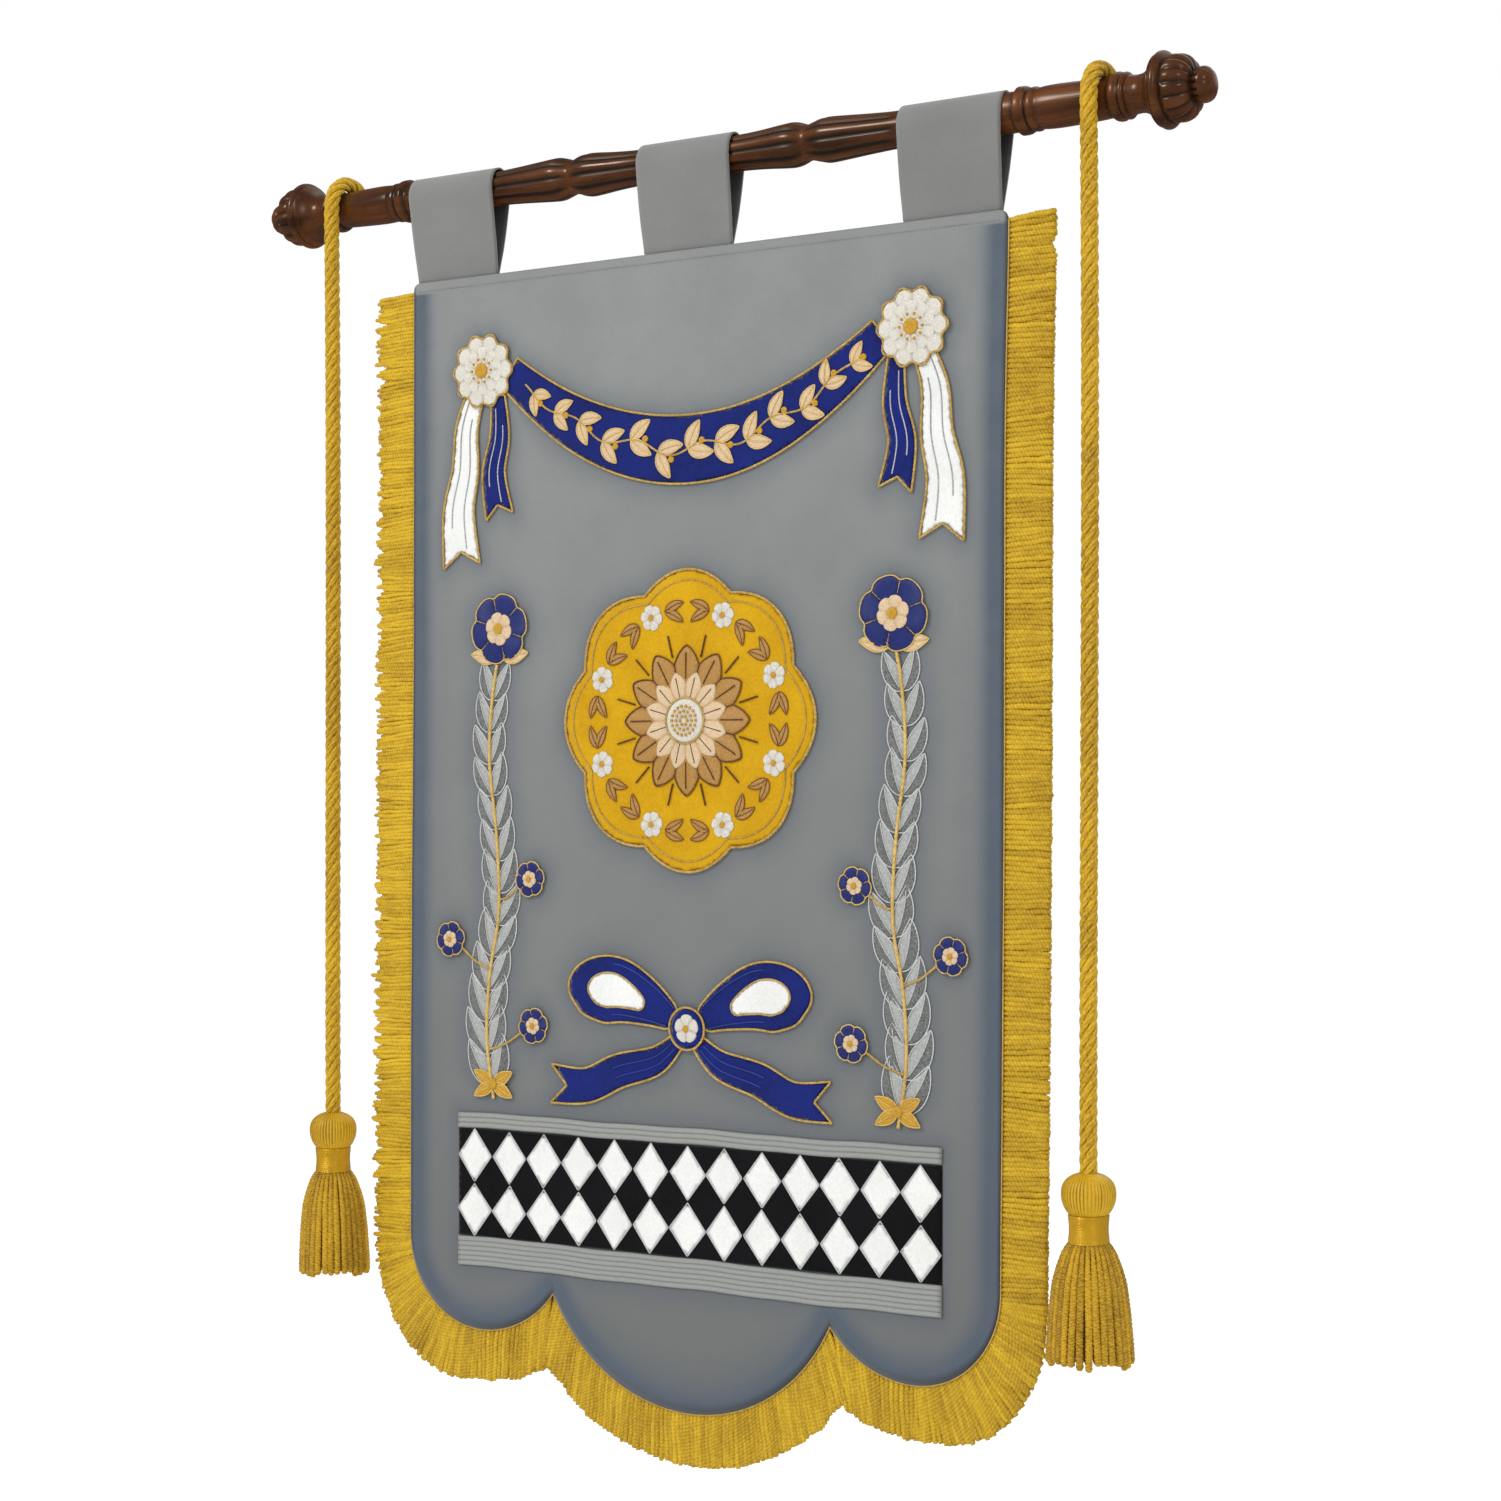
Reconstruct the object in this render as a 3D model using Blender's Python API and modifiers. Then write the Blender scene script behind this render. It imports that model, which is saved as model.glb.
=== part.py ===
"""Fringed lodge banner on a turned wooden crossbar.

Frame: +X runs to the viewer's right along the crossbar, +Y into the wall
behind it, +Z up.  The origin is the middle of the crossbar's axis, so the
cloth hangs below it and its front faces -Y.  All sizes are metres.
"""
import math

import bmesh
import bpy
from mathutils import Vector

# ---------------------------------------------------------------- crossbar
BAR_STEPS = 24                # facets round the bar
OUTER_SHIFT = {-1: 0.0075, 1: 0.0050}   # the turned ends sit this far to the right
OUTER_START = 0.24            # where the turned ends begin, from the middle
BAR_HALF = 0.4310             # middle to the shoulder that a finial screws onto
# half profile from the middle outwards: (distance, radius)
BAR_PROFILE = (
    (0.000, 0.0172), (0.030, 0.0168), (0.055, 0.0163), (0.080, 0.0176),
    (0.100, 0.0194), (0.1105, 0.0199), (0.1185, 0.0186), (0.1270, 0.0157),
    (0.1345, 0.0174), (0.1430, 0.0196), (0.1500, 0.0200), (0.1650, 0.0191),
    (0.1900, 0.0174), (0.2160, 0.0162), (0.2360, 0.0170), (0.2500, 0.0172),
    (0.3235, 0.0172), (0.3245, 0.0160), (0.3260, 0.0186), (0.3290, 0.0201),
    (0.3330, 0.0203), (0.3370, 0.0200), (0.3395, 0.0184), (0.3405, 0.0168),
    (0.3425, 0.0183), (0.3465, 0.0185), (0.3490, 0.0171), (0.3540, 0.0177),
    (0.3660, 0.0181), (0.3850, 0.0177), (0.4050, 0.0170), (0.4155, 0.0164),
    (0.4170, 0.0186), (0.4195, 0.0200), (0.4230, 0.0202), (0.4252, 0.0190),
    (0.4262, 0.0182), (0.4275, 0.0193), (0.4295, 0.0192), (0.4310, 0.0176),
)

# ----------------------------------------------------------------- finials
FINIAL_STEPS = 20
SMOOTH_ANGLE = math.radians(35)
# from the shoulder outwards: (distance, radius)
FINIAL_PROFILE = (
    (0.0000, 0.0166), (0.0040, 0.0160), (0.0090, 0.0157), (0.0140, 0.0168),
    (0.0185, 0.0197), (0.0222, 0.0242), (0.0245, 0.0282), (0.0256, 0.0296),
    (0.0266, 0.0291), (0.0277, 0.0303), (0.0292, 0.0316), (0.0315, 0.0318),
    (0.0334, 0.0308), (0.0346, 0.0286), (0.0355, 0.0262), (0.0385, 0.0276),
    (0.0430, 0.0280), (0.0480, 0.0270), (0.0525, 0.0246), (0.0558, 0.0208),
    (0.0572, 0.0162), (0.0580, 0.0137), (0.0596, 0.0142), (0.0625, 0.0148),
    (0.0660, 0.0147), (0.0695, 0.0130), (0.0720, 0.0096), (0.0733, 0.0052),
    (0.0737, 0.0000),
)

# ------------------------------------------------------------------- panel
GAP = 0.0003                  # air between pieces that meet end to end
LAYER_GAP = 0.0006            # air between cloths that lie on each other
PANEL_TOP = -0.0810           # where the tabs meet the panel
PANEL_HALF = 0.3190           # half the panel's width
PANEL_THICK = 0.0020
CORNER_RADIUS = 0.0070        # rounded top corners
MIDDLE_COLUMNS = 5            # from the panel's middle to a cusp
INNER_COLUMNS = 2             # from a cusp to the side scallop's lowest point
CORNER_COLUMNS = 4            # round the lower corner
PANEL_ROWS = 24
CUSP_X = 0.1510               # where two scallops meet
CUSP_Z = -1.0310
MIDDLE_DEPTH = 0.0935         # drop of the middle scallop below the cusps
SIDE_X = 0.2350               # lowest point of a side scallop
INNER_RADIUS = 0.1050         # side scallop, towards the cusp
OUTER_RADIUS = PANEL_HALF - SIDE_X
SIDE_LOW = CUSP_Z - INNER_RADIUS + math.sqrt(INNER_RADIUS**2 - (SIDE_X - CUSP_X) ** 2)
CORNER_Z = SIDE_LOW + OUTER_RADIUS
MIDDLE_RADIUS = (CUSP_X**2 + MIDDLE_DEPTH**2) / (2 * MIDDLE_DEPTH)
MIDDLE_Z = CUSP_Z - MIDDLE_DEPTH + MIDDLE_RADIUS

# soft troughs of the hanging cloth: x, z of the middle, slant, half width,
# half length, depth (minus stands towards the viewer)
TROUGHS = (
    (-0.235, -0.33, 0.10, 0.070, 0.30, 0.0024),
    (-0.120, -0.20, -0.05, 0.060, 0.16, -0.0016),
    (0.060, -0.17, 0.06, 0.060, 0.15, 0.0018),
    (0.150, -0.45, -0.04, 0.080, 0.33, -0.0016),
    (0.262, -0.62, 0.02, 0.070, 0.40, 0.0020),
    (-0.040, -0.86, 0.00, 0.110, 0.24, 0.0018),
    (-0.290, -0.80, -0.03, 0.070, 0.26, -0.0018),
)
TOP_Y = -0.0030               # front of the cloth at the seam
LEAN = -0.0085                # the foot hangs this far nearer the viewer
HANG = 0.95                   # length over which the cloth leans
SETTLE = 0.16                 # the seam holds the cloth flat; troughs grow below it
FLARE = 0.0040                # the right-hand side stands out this far at its top
FLARE_FADE = 0.13
TAPER = 0.0050                # and draws in this far at its foot

# -------------------------------------------------------------------- tabs
TAB_X = {"left": -0.2665, "middle": 0.0, "right": 0.2705}
TAB_HALF_TOP = 0.0500
TAB_HALF_BACK = 0.0468        # behind the bar
TAB_HALF_SEAM = 0.0480
TAB_HALF_TAIL = 0.0465
# how far each tab has crept along the bar, in front of it and behind it, and at its seam
TAB_FRONT = {"left": 0.0042, "middle": 0.0033, "right": 0.0045}
TAB_BACK = {"left": 0.0005, "middle": 0.0000, "right": 0.0022}
TAB_FOOT = {"left": -0.0012, "middle": -0.0030, "right": -0.0021}
TAB_THICK = 0.0014
TAB_RADIUS = 0.0178           # inside of the loop round the bar
TAIL_LENGTH = 0.0065          # sewn behind the panel's top edge
ARC_STEPS = 14

# ------------------------------------------------------------------ fringe
FRINGE_DEPTH = 0.0480
RIGHT_DEPTH = 0.0435          # the right-hand side fringe is a little shorter
FRINGE_LAP = 0.0045           # sewn behind the panel's edge
FRINGE_THICK = 0.0026
FRINGE_TOP = -0.0883
FRINGE_SPLIT = -1.0080        # slit between side and bottom fringe
TOOTH_PITCH = 0.0250
NOTCH = 0.78                  # notches start at this share of the depth
TOOTH_TIP = 0.22              # a tooth's tip is this much narrower each side
CORNER_DROOP = 0.0110         # strands on the round corner sink this far
SIDE_DROOP = 0.0060           # as do the lowest strands of a side fringe
SLIT_ANGLE = 0.03             # radians of the corner left open at the slit
MIDDLE_TIP_X = 0.1650         # where the tips of two scallops meet

# ----------------------------------------------------- hanging cords, tassels
CORD_DIAMETER = 0.0150
CORD_SAMPLES = 3              # tube points for each stretch of the route
CORD_X = {"left": -0.4040, "right": 0.4095}
CORD_DRIFT = {"left": 0.0, "right": -0.0040}    # sideways drift down to the tassel
# one cord from behind the bar, over it and down: x sway, y, z
CORD_ROUTE = (
    (0.0000, 0.0233, -0.0085), (0.0000, 0.0248, 0.0000), (0.0000, 0.0229, 0.0095),
    (0.0000, 0.0175, 0.0175), (0.0000, 0.0095, 0.0229), (0.0000, 0.0000, 0.0248),
    (0.0000, -0.0095, 0.0229), (0.0000, -0.0175, 0.0175), (0.0000, -0.0230, 0.0095),
    (0.0001, -0.0251, -0.0010), (0.0003, -0.0254, -0.0200), (0.0005, -0.0253, -0.0500),
    (0.0008, -0.0252, -0.1100), (0.0010, -0.0251, -0.1900), (0.0010, -0.0252, -0.2800),
    (0.0008, -0.0252, -0.3700), (0.0004, -0.0253, -0.4600), (0.0000, -0.0253, -0.5500),
    (-0.0004, -0.0254, -0.6400), (-0.0008, -0.0254, -0.7300), (-0.0010, -0.0254, -0.8100),
    (-0.0010, -0.0254, -0.8785),
)
TASSEL_STEPS = 16
# each part of a tassel, from the cord down: (distance below the cord, radius)
HEAD_PROFILE = (
    (0.0000, 0.0085), (0.0022, 0.0135), (0.0060, 0.0188), (0.0110, 0.0217),
    (0.0160, 0.0223), (0.0220, 0.0212), (0.0285, 0.0185), (0.0335, 0.0166),
)
NECK_PROFILE = (
    (0.0338, 0.0160), (0.0350, 0.0166), (0.0450, 0.0164), (0.0555, 0.0169), (0.0562, 0.0165),
)
SKIRT_PROFILE = (
    (0.0565, 0.0170), (0.0585, 0.0198), (0.0650, 0.0238), (0.0770, 0.0278),
    (0.0890, 0.0306), (0.1120, 0.0334), (0.1390, 0.0355), (0.1510, 0.0360), (0.1540, 0.0342),
)

# ----------------------------------------------------------- sewn-on pieces
APPLIQUE_THICK = 0.0012
SWAG_X = 0.2030               # half length of the swag
SWAG_STATIONS = 12
SWAG_HIGH = -0.1750
SWAG_DIP = 0.0860
SWAG_WIDTH = 0.0620
SWAG_END_WIDTH = 0.0320
ROSETTE_X = 0.2330
ROSETTE_Z = -0.1720
ROSETTE_RADIUS = 0.0350
# centre lines of the hanging tails, for the right-hand side: (x, z, width)
OUTER_TAIL = ((0.2420, -0.1900, 0.020), (0.2540, -0.2250, 0.026), (0.2560, -0.2650, 0.031),
              (0.2640, -0.3050, 0.036), (0.2600, -0.3550, 0.043))
INNER_TAIL = ((0.2165, -0.1960, 0.016), (0.2150, -0.2350, 0.023), (0.2220, -0.2700, 0.027),
              (0.2150, -0.3100, 0.033))
MEDALLION_Z = -0.5050
MEDALLION_RADIUS = 0.1360
MEDALLION_LOBES = 8
FLOWER_RADIUS = 0.0680
FLOWER_PETALS = 12
BOSS_RADIUS = 0.0200
BOW_Z = -0.7750
# centre lines of the bow, for the right-hand side: (x, z, width)
BOW_LOOP = ((0.0130, -0.7750, 0.020), (0.0420, -0.7600, 0.042), (0.0780, -0.7490, 0.060),
            (0.1080, -0.7530, 0.058), (0.1240, -0.7640, 0.030))
BOW_TAIL = ((0.0120, -0.7940, 0.016), (0.0360, -0.8120, 0.026), (0.0760, -0.8230, 0.031),
            (0.1120, -0.8380, 0.032), (0.1520, -0.8380, 0.036))
KNOT_RADIUS = 0.0190
BAND_HALF = 0.2600
BAND_CELLS = 14
BAND_TOP = -0.8850
BAND_BOTTOM = -0.9860
BRAID_WIDTH = {"braid_top": 0.0140, "braid_bottom": 0.0270}
BRAID_GAP = 0.0006

# colour, roughness and metallic value of each finish
FINISHES = {
    "dark_wood": ((0.085, 0.030, 0.014), 0.30, 0.0),
    "grey_cloth": ((0.215, 0.220, 0.220), 0.85, 0.0),
    "gold_yarn": ((0.560, 0.350, 0.040), 0.60, 0.0),
    "blue_felt": ((0.010, 0.030, 0.260), 0.80, 0.0),
    "white_felt": ((0.800, 0.800, 0.780), 0.80, 0.0),
    "yellow_felt": ((0.820, 0.560, 0.020), 0.80, 0.0),
    "tan_thread": ((0.640, 0.480, 0.290), 0.60, 0.0),
    "black_felt": ((0.012, 0.012, 0.014), 0.80, 0.0),
    "silver_braid": ((0.420, 0.430, 0.440), 0.45, 0.0),
}


def clear_scene():
    """Empty the file that the script starts in."""
    for old in list(bpy.data.objects):
        bpy.data.objects.remove(old, do_unlink=True)


def make_finishes():
    """One Principled material for each finish."""
    made = {}
    for name, (colour, roughness, metallic) in FINISHES.items():
        material = bpy.data.materials.new(name)
        material.use_nodes = True
        shader = material.node_tree.nodes["Principled BSDF"]
        shader.inputs["Base Color"].default_value = (*colour, 1.0)
        shader.inputs["Roughness"].default_value = roughness
        shader.inputs["Metallic"].default_value = metallic
        made[name] = material
    return made


def add_object(name, data, finish, group):
    """Link one named sub-part with its finish."""
    data.materials.append(finish)
    piece = bpy.data.objects.new(name, data)
    group.objects.link(piece)
    return piece


def turned(name, profile, steps, finish, group):
    """A solid of revolution about local Z; the profile is (height, radius), top first."""
    mesh = bpy.data.meshes.new(name)
    bm = bmesh.new()
    outline = [(0.0, 0.0, profile[0][0])] if profile[0][1] > 0 else []
    outline += [(radius, 0.0, height) for height, radius in profile]
    if profile[-1][1] > 0:
        outline.append((0.0, 0.0, profile[-1][0]))
    verts = [bm.verts.new(point) for point in outline]
    for first, second in zip(verts, verts[1:]):
        bm.edges.new((first, second))
    bm.to_mesh(mesh)
    bm.free()
    piece = add_object(name, mesh, finish, group)
    screw = piece.modifiers.new("turn", "SCREW")
    screw.steps = steps
    screw.render_steps = steps
    screw.use_merge_vertices = True
    screw.merge_threshold = 0.00001
    return piece


def sheet(name, rows, thickness, finish, group, closed=False):
    """A cloth of even thickness behind a front surface given row by row, top first.

    A closed sheet joins the end of each row to its start, and its first row is
    a single point in the middle.
    """
    mesh = bpy.data.meshes.new(name)
    bm = bmesh.new()
    grid = [[bm.verts.new(point) for point in row] for row in rows]
    for upper, lower in zip(grid, grid[1:]):
        count = len(lower)
        last = count if closed else count - 1
        for index in range(last):
            after = (index + 1) % count
            if len(upper) == 1:
                bm.faces.new((upper[0], lower[index], lower[after]))
            else:
                bm.faces.new((upper[index], lower[index], lower[after], upper[after]))
    bm.to_mesh(mesh)
    bm.free()
    piece = add_object(name, mesh, finish, group)
    solid = piece.modifiers.new("thickness", "SOLIDIFY")
    solid.thickness = thickness
    solid.offset = -1.0
    return piece


def hang_y(x, z):
    """Y of the cloth's front: a slight forward lean with soft troughs."""
    x = max(-PANEL_HALF, min(PANEL_HALF, x))
    down = max(0.0, min(1.0, (PANEL_TOP - z) / HANG))
    y = TOP_Y + LEAN * down
    freedom = min(1.0, (PANEL_TOP - min(z, PANEL_TOP)) / SETTLE)
    freedom = freedom * freedom * (3.0 - 2.0 * freedom)
    for middle_x, middle_z, slant, wide, tall, depth in TROUGHS:
        across = (x - middle_x - slant * (z - middle_z)) / wide
        along = (z - middle_z) / tall
        y += freedom * depth * math.exp(-across * across - along * along)
    return y


def spread(x, z):
    """X of a point of the hanging cloth: its right side flares at the top, draws in below."""
    if x <= 0:
        return x
    down = max(0.0, min(1.0, (PANEL_TOP - z) / HANG))
    return x + x / PANEL_HALF * (FLARE * math.exp(-(down / FLARE_FADE) ** 2) - TAPER * down**2)


def panel_bottom(x):
    """Z of the scalloped lower edge."""
    out = abs(x)
    if out <= CUSP_X:
        return MIDDLE_Z - math.sqrt(MIDDLE_RADIUS**2 - out**2)
    if out <= SIDE_X:
        centre = SIDE_LOW + INNER_RADIUS
        return centre - math.sqrt(INNER_RADIUS**2 - (out - SIDE_X) ** 2)
    return CORNER_Z - math.sqrt(max(0.0, OUTER_RADIUS**2 - (out - SIDE_X) ** 2))


def panel_top(x):
    """Z of the upper edge, rounded at its two corners."""
    inset = abs(x) - (PANEL_HALF - CORNER_RADIUS)
    if inset <= 0:
        return PANEL_TOP
    return PANEL_TOP - CORNER_RADIUS + math.sqrt(max(0.0, CORNER_RADIUS**2 - inset**2))


def panel_columns():
    """X of the panel's columns: even across, closer on the round corners."""
    middle = [CUSP_X * index / MIDDLE_COLUMNS for index in range(MIDDLE_COLUMNS + 1)]
    inner = [CUSP_X + (SIDE_X - CUSP_X) * index / INNER_COLUMNS
             for index in range(1, INNER_COLUMNS + 1)]
    corner = [SIDE_X + OUTER_RADIUS * math.sin(math.pi / 2 * index / CORNER_COLUMNS)
              for index in range(1, CORNER_COLUMNS + 1)]
    right = middle + inner + corner
    return [-x for x in reversed(right[1:])] + right


def make_panel(finishes, group):
    """The grey field: one cloth with three scallops along its foot."""
    columns = panel_columns()
    rows = []
    for index in range(PANEL_ROWS + 1):
        share = index / PANEL_ROWS
        row = []
        for x in columns:
            z = panel_top(x) + (panel_bottom(x) - panel_top(x)) * share
            row.append((spread(x, z), hang_y(x, z), z))
        rows.append(row)
    sheet("panel", rows, PANEL_THICK, finishes["grey_cloth"], group)


def tab_section():
    """(y, z) of a tab's middle surface: up behind the seam, round the bar, down again."""
    middle = TAB_RADIUS + TAB_THICK / 2
    seam_z = PANEL_TOP + 0.003
    front_y = TOP_Y + PANEL_THICK + LAYER_GAP + TAB_THICK / 2
    back_y = front_y + TAB_THICK + LAYER_GAP
    points = [(front_y, PANEL_TOP - TAIL_LENGTH), (front_y, seam_z)]
    reach = math.acos(middle / math.hypot(front_y, seam_z))
    first = math.atan2(seam_z, front_y) - reach
    reach = math.acos(middle / math.hypot(back_y, seam_z))
    last = math.atan2(seam_z, back_y) + reach - 2 * math.pi
    for index in range(ARC_STEPS + 1):
        angle = first + (last - first) * index / ARC_STEPS
        points.append((middle * math.cos(angle), middle * math.sin(angle)))
    points += [(back_y, seam_z), (back_y, PANEL_TOP - TAIL_LENGTH)]
    return points


def tab_reach(side, y, z):
    """The lowest and highest x of a tab at a point of its loop."""
    rise = min(1.0, max(0.0, (z - PANEL_TOP) / -PANEL_TOP))
    behind = min(1.0, max(0.0, 0.5 + 0.5 * y / TAB_RADIUS))
    crept = TAB_FRONT[side] + (TAB_BACK[side] - TAB_FRONT[side]) * behind
    middle = TAB_X[side] + TAB_FOOT[side] * (1 - rise) + crept * rise
    half = TAB_HALF_TOP + (TAB_HALF_BACK - TAB_HALF_TOP) * behind
    half = TAB_HALF_SEAM + (half - TAB_HALF_SEAM) * rise
    tail = max(0.0, (PANEL_TOP - z) / TAIL_LENGTH)
    half += (TAB_HALF_TAIL - TAB_HALF_SEAM) * tail
    return middle - half, middle + half


def make_tab(side, finishes, group):
    """A loop of cloth over the bar, both ends sewn behind the panel."""
    rows = []
    for y, z in tab_section():
        low, high = tab_reach(side, y, z)
        rows.append([(low + (high - low) * share, y, z) for share in (0.0, 0.33, 0.67, 1.0)])
    piece = sheet("tab_" + side, rows, TAB_THICK, finishes["grey_cloth"], group)
    piece.modifiers["thickness"].offset = 0.0


def comb(name, roots, tips, finish, group):
    """A toothed strip: roots and tips are matching (x, z) at every tooth's edge."""
    def place(point):
        x, z = point
        return (spread(x, z), hang_y(x, z) + PANEL_THICK + LAYER_GAP, z)

    def between(first, second, share):
        return tuple(a + (b - a) * share for a, b in zip(first, second))

    mesh = bpy.data.meshes.new(name)
    bm = bmesh.new()
    root_row = [bm.verts.new(place(point)) for point in roots]
    notch_row = [bm.verts.new(place(between(root, tip, NOTCH)))
                 for root, tip in zip(roots, tips)]
    for index in range(len(roots) - 1):
        after = index + 1
        first = bm.verts.new(place(between(tips[index], tips[after], TOOTH_TIP)))
        second = bm.verts.new(place(between(tips[after], tips[index], TOOTH_TIP)))
        bm.faces.new((root_row[index], notch_row[index], notch_row[after], root_row[after]))
        bm.faces.new((notch_row[index], first, second, notch_row[after]))
    bm.to_mesh(mesh)
    bm.free()
    piece = add_object(name, mesh, finish, group)
    solid = piece.modifiers.new("thickness", "SOLIDIFY")
    solid.thickness = FRINGE_THICK
    solid.offset = -1.0


def side_fringe_edges(sign):
    """Roots and tips of a side fringe, ordered so that its front faces -Y."""
    corner_angle = math.asin((CORNER_Z - FRINGE_SPLIT) / OUTER_RADIUS)
    count = round((FRINGE_TOP - FRINGE_SPLIT) / TOOTH_PITCH)
    roots, tips = [], []
    for index in range(count + 1):
        z = FRINGE_TOP + (FRINGE_SPLIT - FRINGE_TOP) * index / count
        edge = PANEL_HALF
        slope = 0.0
        if z < CORNER_Z:
            slope = math.asin((CORNER_Z - z) / OUTER_RADIUS)
            edge = SIDE_X + OUTER_RADIUS * math.cos(slope)
        roots.append((sign * (edge - FRINGE_LAP), z))
        droop = SIDE_DROOP * slope / corner_angle
        depth = RIGHT_DEPTH if sign > 0 else FRINGE_DEPTH
        tips.append((sign * (edge + depth), z - droop))
    if sign > 0:
        roots.reverse()
        tips.reverse()
    return roots, tips


def bottom_fringe_edges():
    """Roots and tips of the fringe along the three scallops, from left to right."""
    right = []
    cusp_angle = math.asin(CUSP_X / MIDDLE_RADIUS)
    middle_tip = math.asin(MIDDLE_TIP_X / (MIDDLE_RADIUS + FRINGE_DEPTH))
    half_teeth = round(cusp_angle * MIDDLE_RADIUS / TOOTH_PITCH)
    for index in range(half_teeth + 1):
        share = index / half_teeth
        right.append((0.0, MIDDLE_Z, MIDDLE_RADIUS, cusp_angle * share, middle_tip * share, 0.0))
    inner_angle = math.asin((SIDE_X - CUSP_X) / INNER_RADIUS)
    inner_tip = math.asin((SIDE_X - MIDDLE_TIP_X) / (INNER_RADIUS + FRINGE_DEPTH))
    inner_teeth = round(inner_angle * INNER_RADIUS / TOOTH_PITCH)
    for index in range(1, inner_teeth + 1):
        share = 1.0 - index / inner_teeth
        right.append((SIDE_X, SIDE_LOW + INNER_RADIUS, INNER_RADIUS,
                      -inner_angle * share, -inner_tip * share, 0.0))
    split_angle = math.acos((CORNER_Z - FRINGE_SPLIT) / OUTER_RADIUS) - SLIT_ANGLE
    outer_teeth = round(split_angle * OUTER_RADIUS / TOOTH_PITCH)
    for index in range(1, outer_teeth + 1):
        angle = split_angle * index / outer_teeth
        droop = CORNER_DROOP * math.sin(2 * min(angle, math.pi / 4))
        right.append((SIDE_X, CORNER_Z, OUTER_RADIUS, angle, angle, droop))
    roots, tips = [], []
    for centre_x, centre_z, radius, root, tip, droop in right:
        inner = radius - FRINGE_LAP
        outer = radius + FRINGE_DEPTH
        roots.append((centre_x + inner * math.sin(root), centre_z - inner * math.cos(root)))
        tips.append((centre_x + outer * math.sin(tip), centre_z - outer * math.cos(tip) - droop))
    left_roots = [(-x, z) for x, z in reversed(roots[1:])]
    left_tips = [(-x, z) for x, z in reversed(tips[1:])]
    return left_roots + roots, left_tips + tips


def make_fringes(finishes, group):
    """Three combs of yarn: one down each side and one along the foot."""
    for side, sign in (("left", -1), ("right", 1)):
        roots, tips = side_fringe_edges(sign)
        comb("fringe_" + side, roots, tips, finishes["gold_yarn"], group)
    roots, tips = bottom_fringe_edges()
    comb("fringe_bottom", roots, tips, finishes["gold_yarn"], group)


def make_bar(finishes, group):
    """The turned bar with a separate finial screwed onto each end."""
    def station(distance, sign):
        shift = OUTER_SHIFT[sign] if distance > OUTER_START else 0.0
        return sign * distance + shift

    right = [(station(distance, 1), radius) for distance, radius in BAR_PROFILE]
    left = [(station(distance, -1), radius) for distance, radius in BAR_PROFILE[1:]]
    profile = list(reversed(right)) + left
    bar = turned("crossbar", profile, BAR_STEPS, finishes["dark_wood"], group)
    bar.rotation_euler = (0.0, math.pi / 2, 0.0)
    outwards = [(distance, radius) for distance, radius in reversed(FINIAL_PROFILE)]
    for side, sign in (("left", -1), ("right", 1)):
        finial = turned("finial_" + side, outwards, FINIAL_STEPS, finishes["dark_wood"], group)
        finial.rotation_euler = (0.0, sign * math.pi / 2, 0.0)
        finial.location = (station(BAR_HALF, sign) + sign * GAP, 0.0, 0.0)


def smooth_route(points, samples):
    """Points read from a smooth curve through the route's own points."""
    route = [Vector(point) for point in points]
    read = []
    for index in range(len(route) - 1):
        before = route[max(0, index - 1)]
        start = route[index]
        end = route[index + 1]
        after = route[min(len(route) - 1, index + 2)]
        for step in range(samples):
            t = step / samples
            read.append(0.5 * (2 * start + (end - before) * t
                               + (2 * before - 5 * start + 4 * end - after) * t**2
                               + (3 * start - 3 * end + after - before) * t**3))
    read.append(route[-1])
    return read


def cord_route(side):
    """The route of one cord, drifting sideways below the bar."""
    return [(x + CORD_DRIFT[side] * min(0.0, z) / CORD_ROUTE[-1][2], y, z)
            for x, y, z in CORD_ROUTE]


def make_cord(side, finishes, group):
    """A cord from behind the bar, over it and straight down to its tassel."""
    curve = bpy.data.curves.new("cord_" + side, "CURVE")
    curve.dimensions = "3D"
    curve.bevel_depth = CORD_DIAMETER / 2
    curve.bevel_resolution = 2
    curve.use_fill_caps = True
    points = smooth_route(cord_route(side), CORD_SAMPLES)
    spline = curve.splines.new("POLY")
    spline.points.add(len(points) - 1)
    for target, point in zip(spline.points, points):
        target.co = (*point, 1.0)
    cord = add_object("cord_" + side, curve, finishes["gold_yarn"], group)
    cord.location = (CORD_X[side], 0.0, 0.0)


def make_tassel(side, finishes, group):
    """Head, bound neck and skirt, hung on the end of a cord."""
    sway, y, z = cord_route(side)[-1]
    profiles = {"head": HEAD_PROFILE, "neck": NECK_PROFILE, "skirt": SKIRT_PROFILE}
    for part, profile in profiles.items():
        heights = [(-distance, radius) for distance, radius in profile]
        name = "tassel_{}_{}".format(part, side)
        piece = turned(name, heights, TASSEL_STEPS, finishes["gold_yarn"], group)
        piece.location = (CORD_X[side] + sway, y, z - GAP)


def on_panel(x, z, level):
    """A point on the front of a sewn-on piece; level 1 lies on the panel itself."""
    return (x, hang_y(x, z) - level * (LAYER_GAP + APPLIQUE_THICK), z)


def round_patch(name, x, z, radius_at, spokes, rings, level, finish, group):
    """A patch whose edge is radius_at(angle) from its middle."""
    rows = [[on_panel(x, z, level)]]
    for ring in range(1, rings + 1):
        row = []
        for spoke in range(spokes):
            angle = 2 * math.pi * spoke / spokes
            radius = radius_at(angle) * ring / rings
            row.append(on_panel(x + radius * math.cos(angle), z + radius * math.sin(angle), level))
        rows.append(row)
    sheet(name, rows, APPLIQUE_THICK, finish, group, closed=True)


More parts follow.
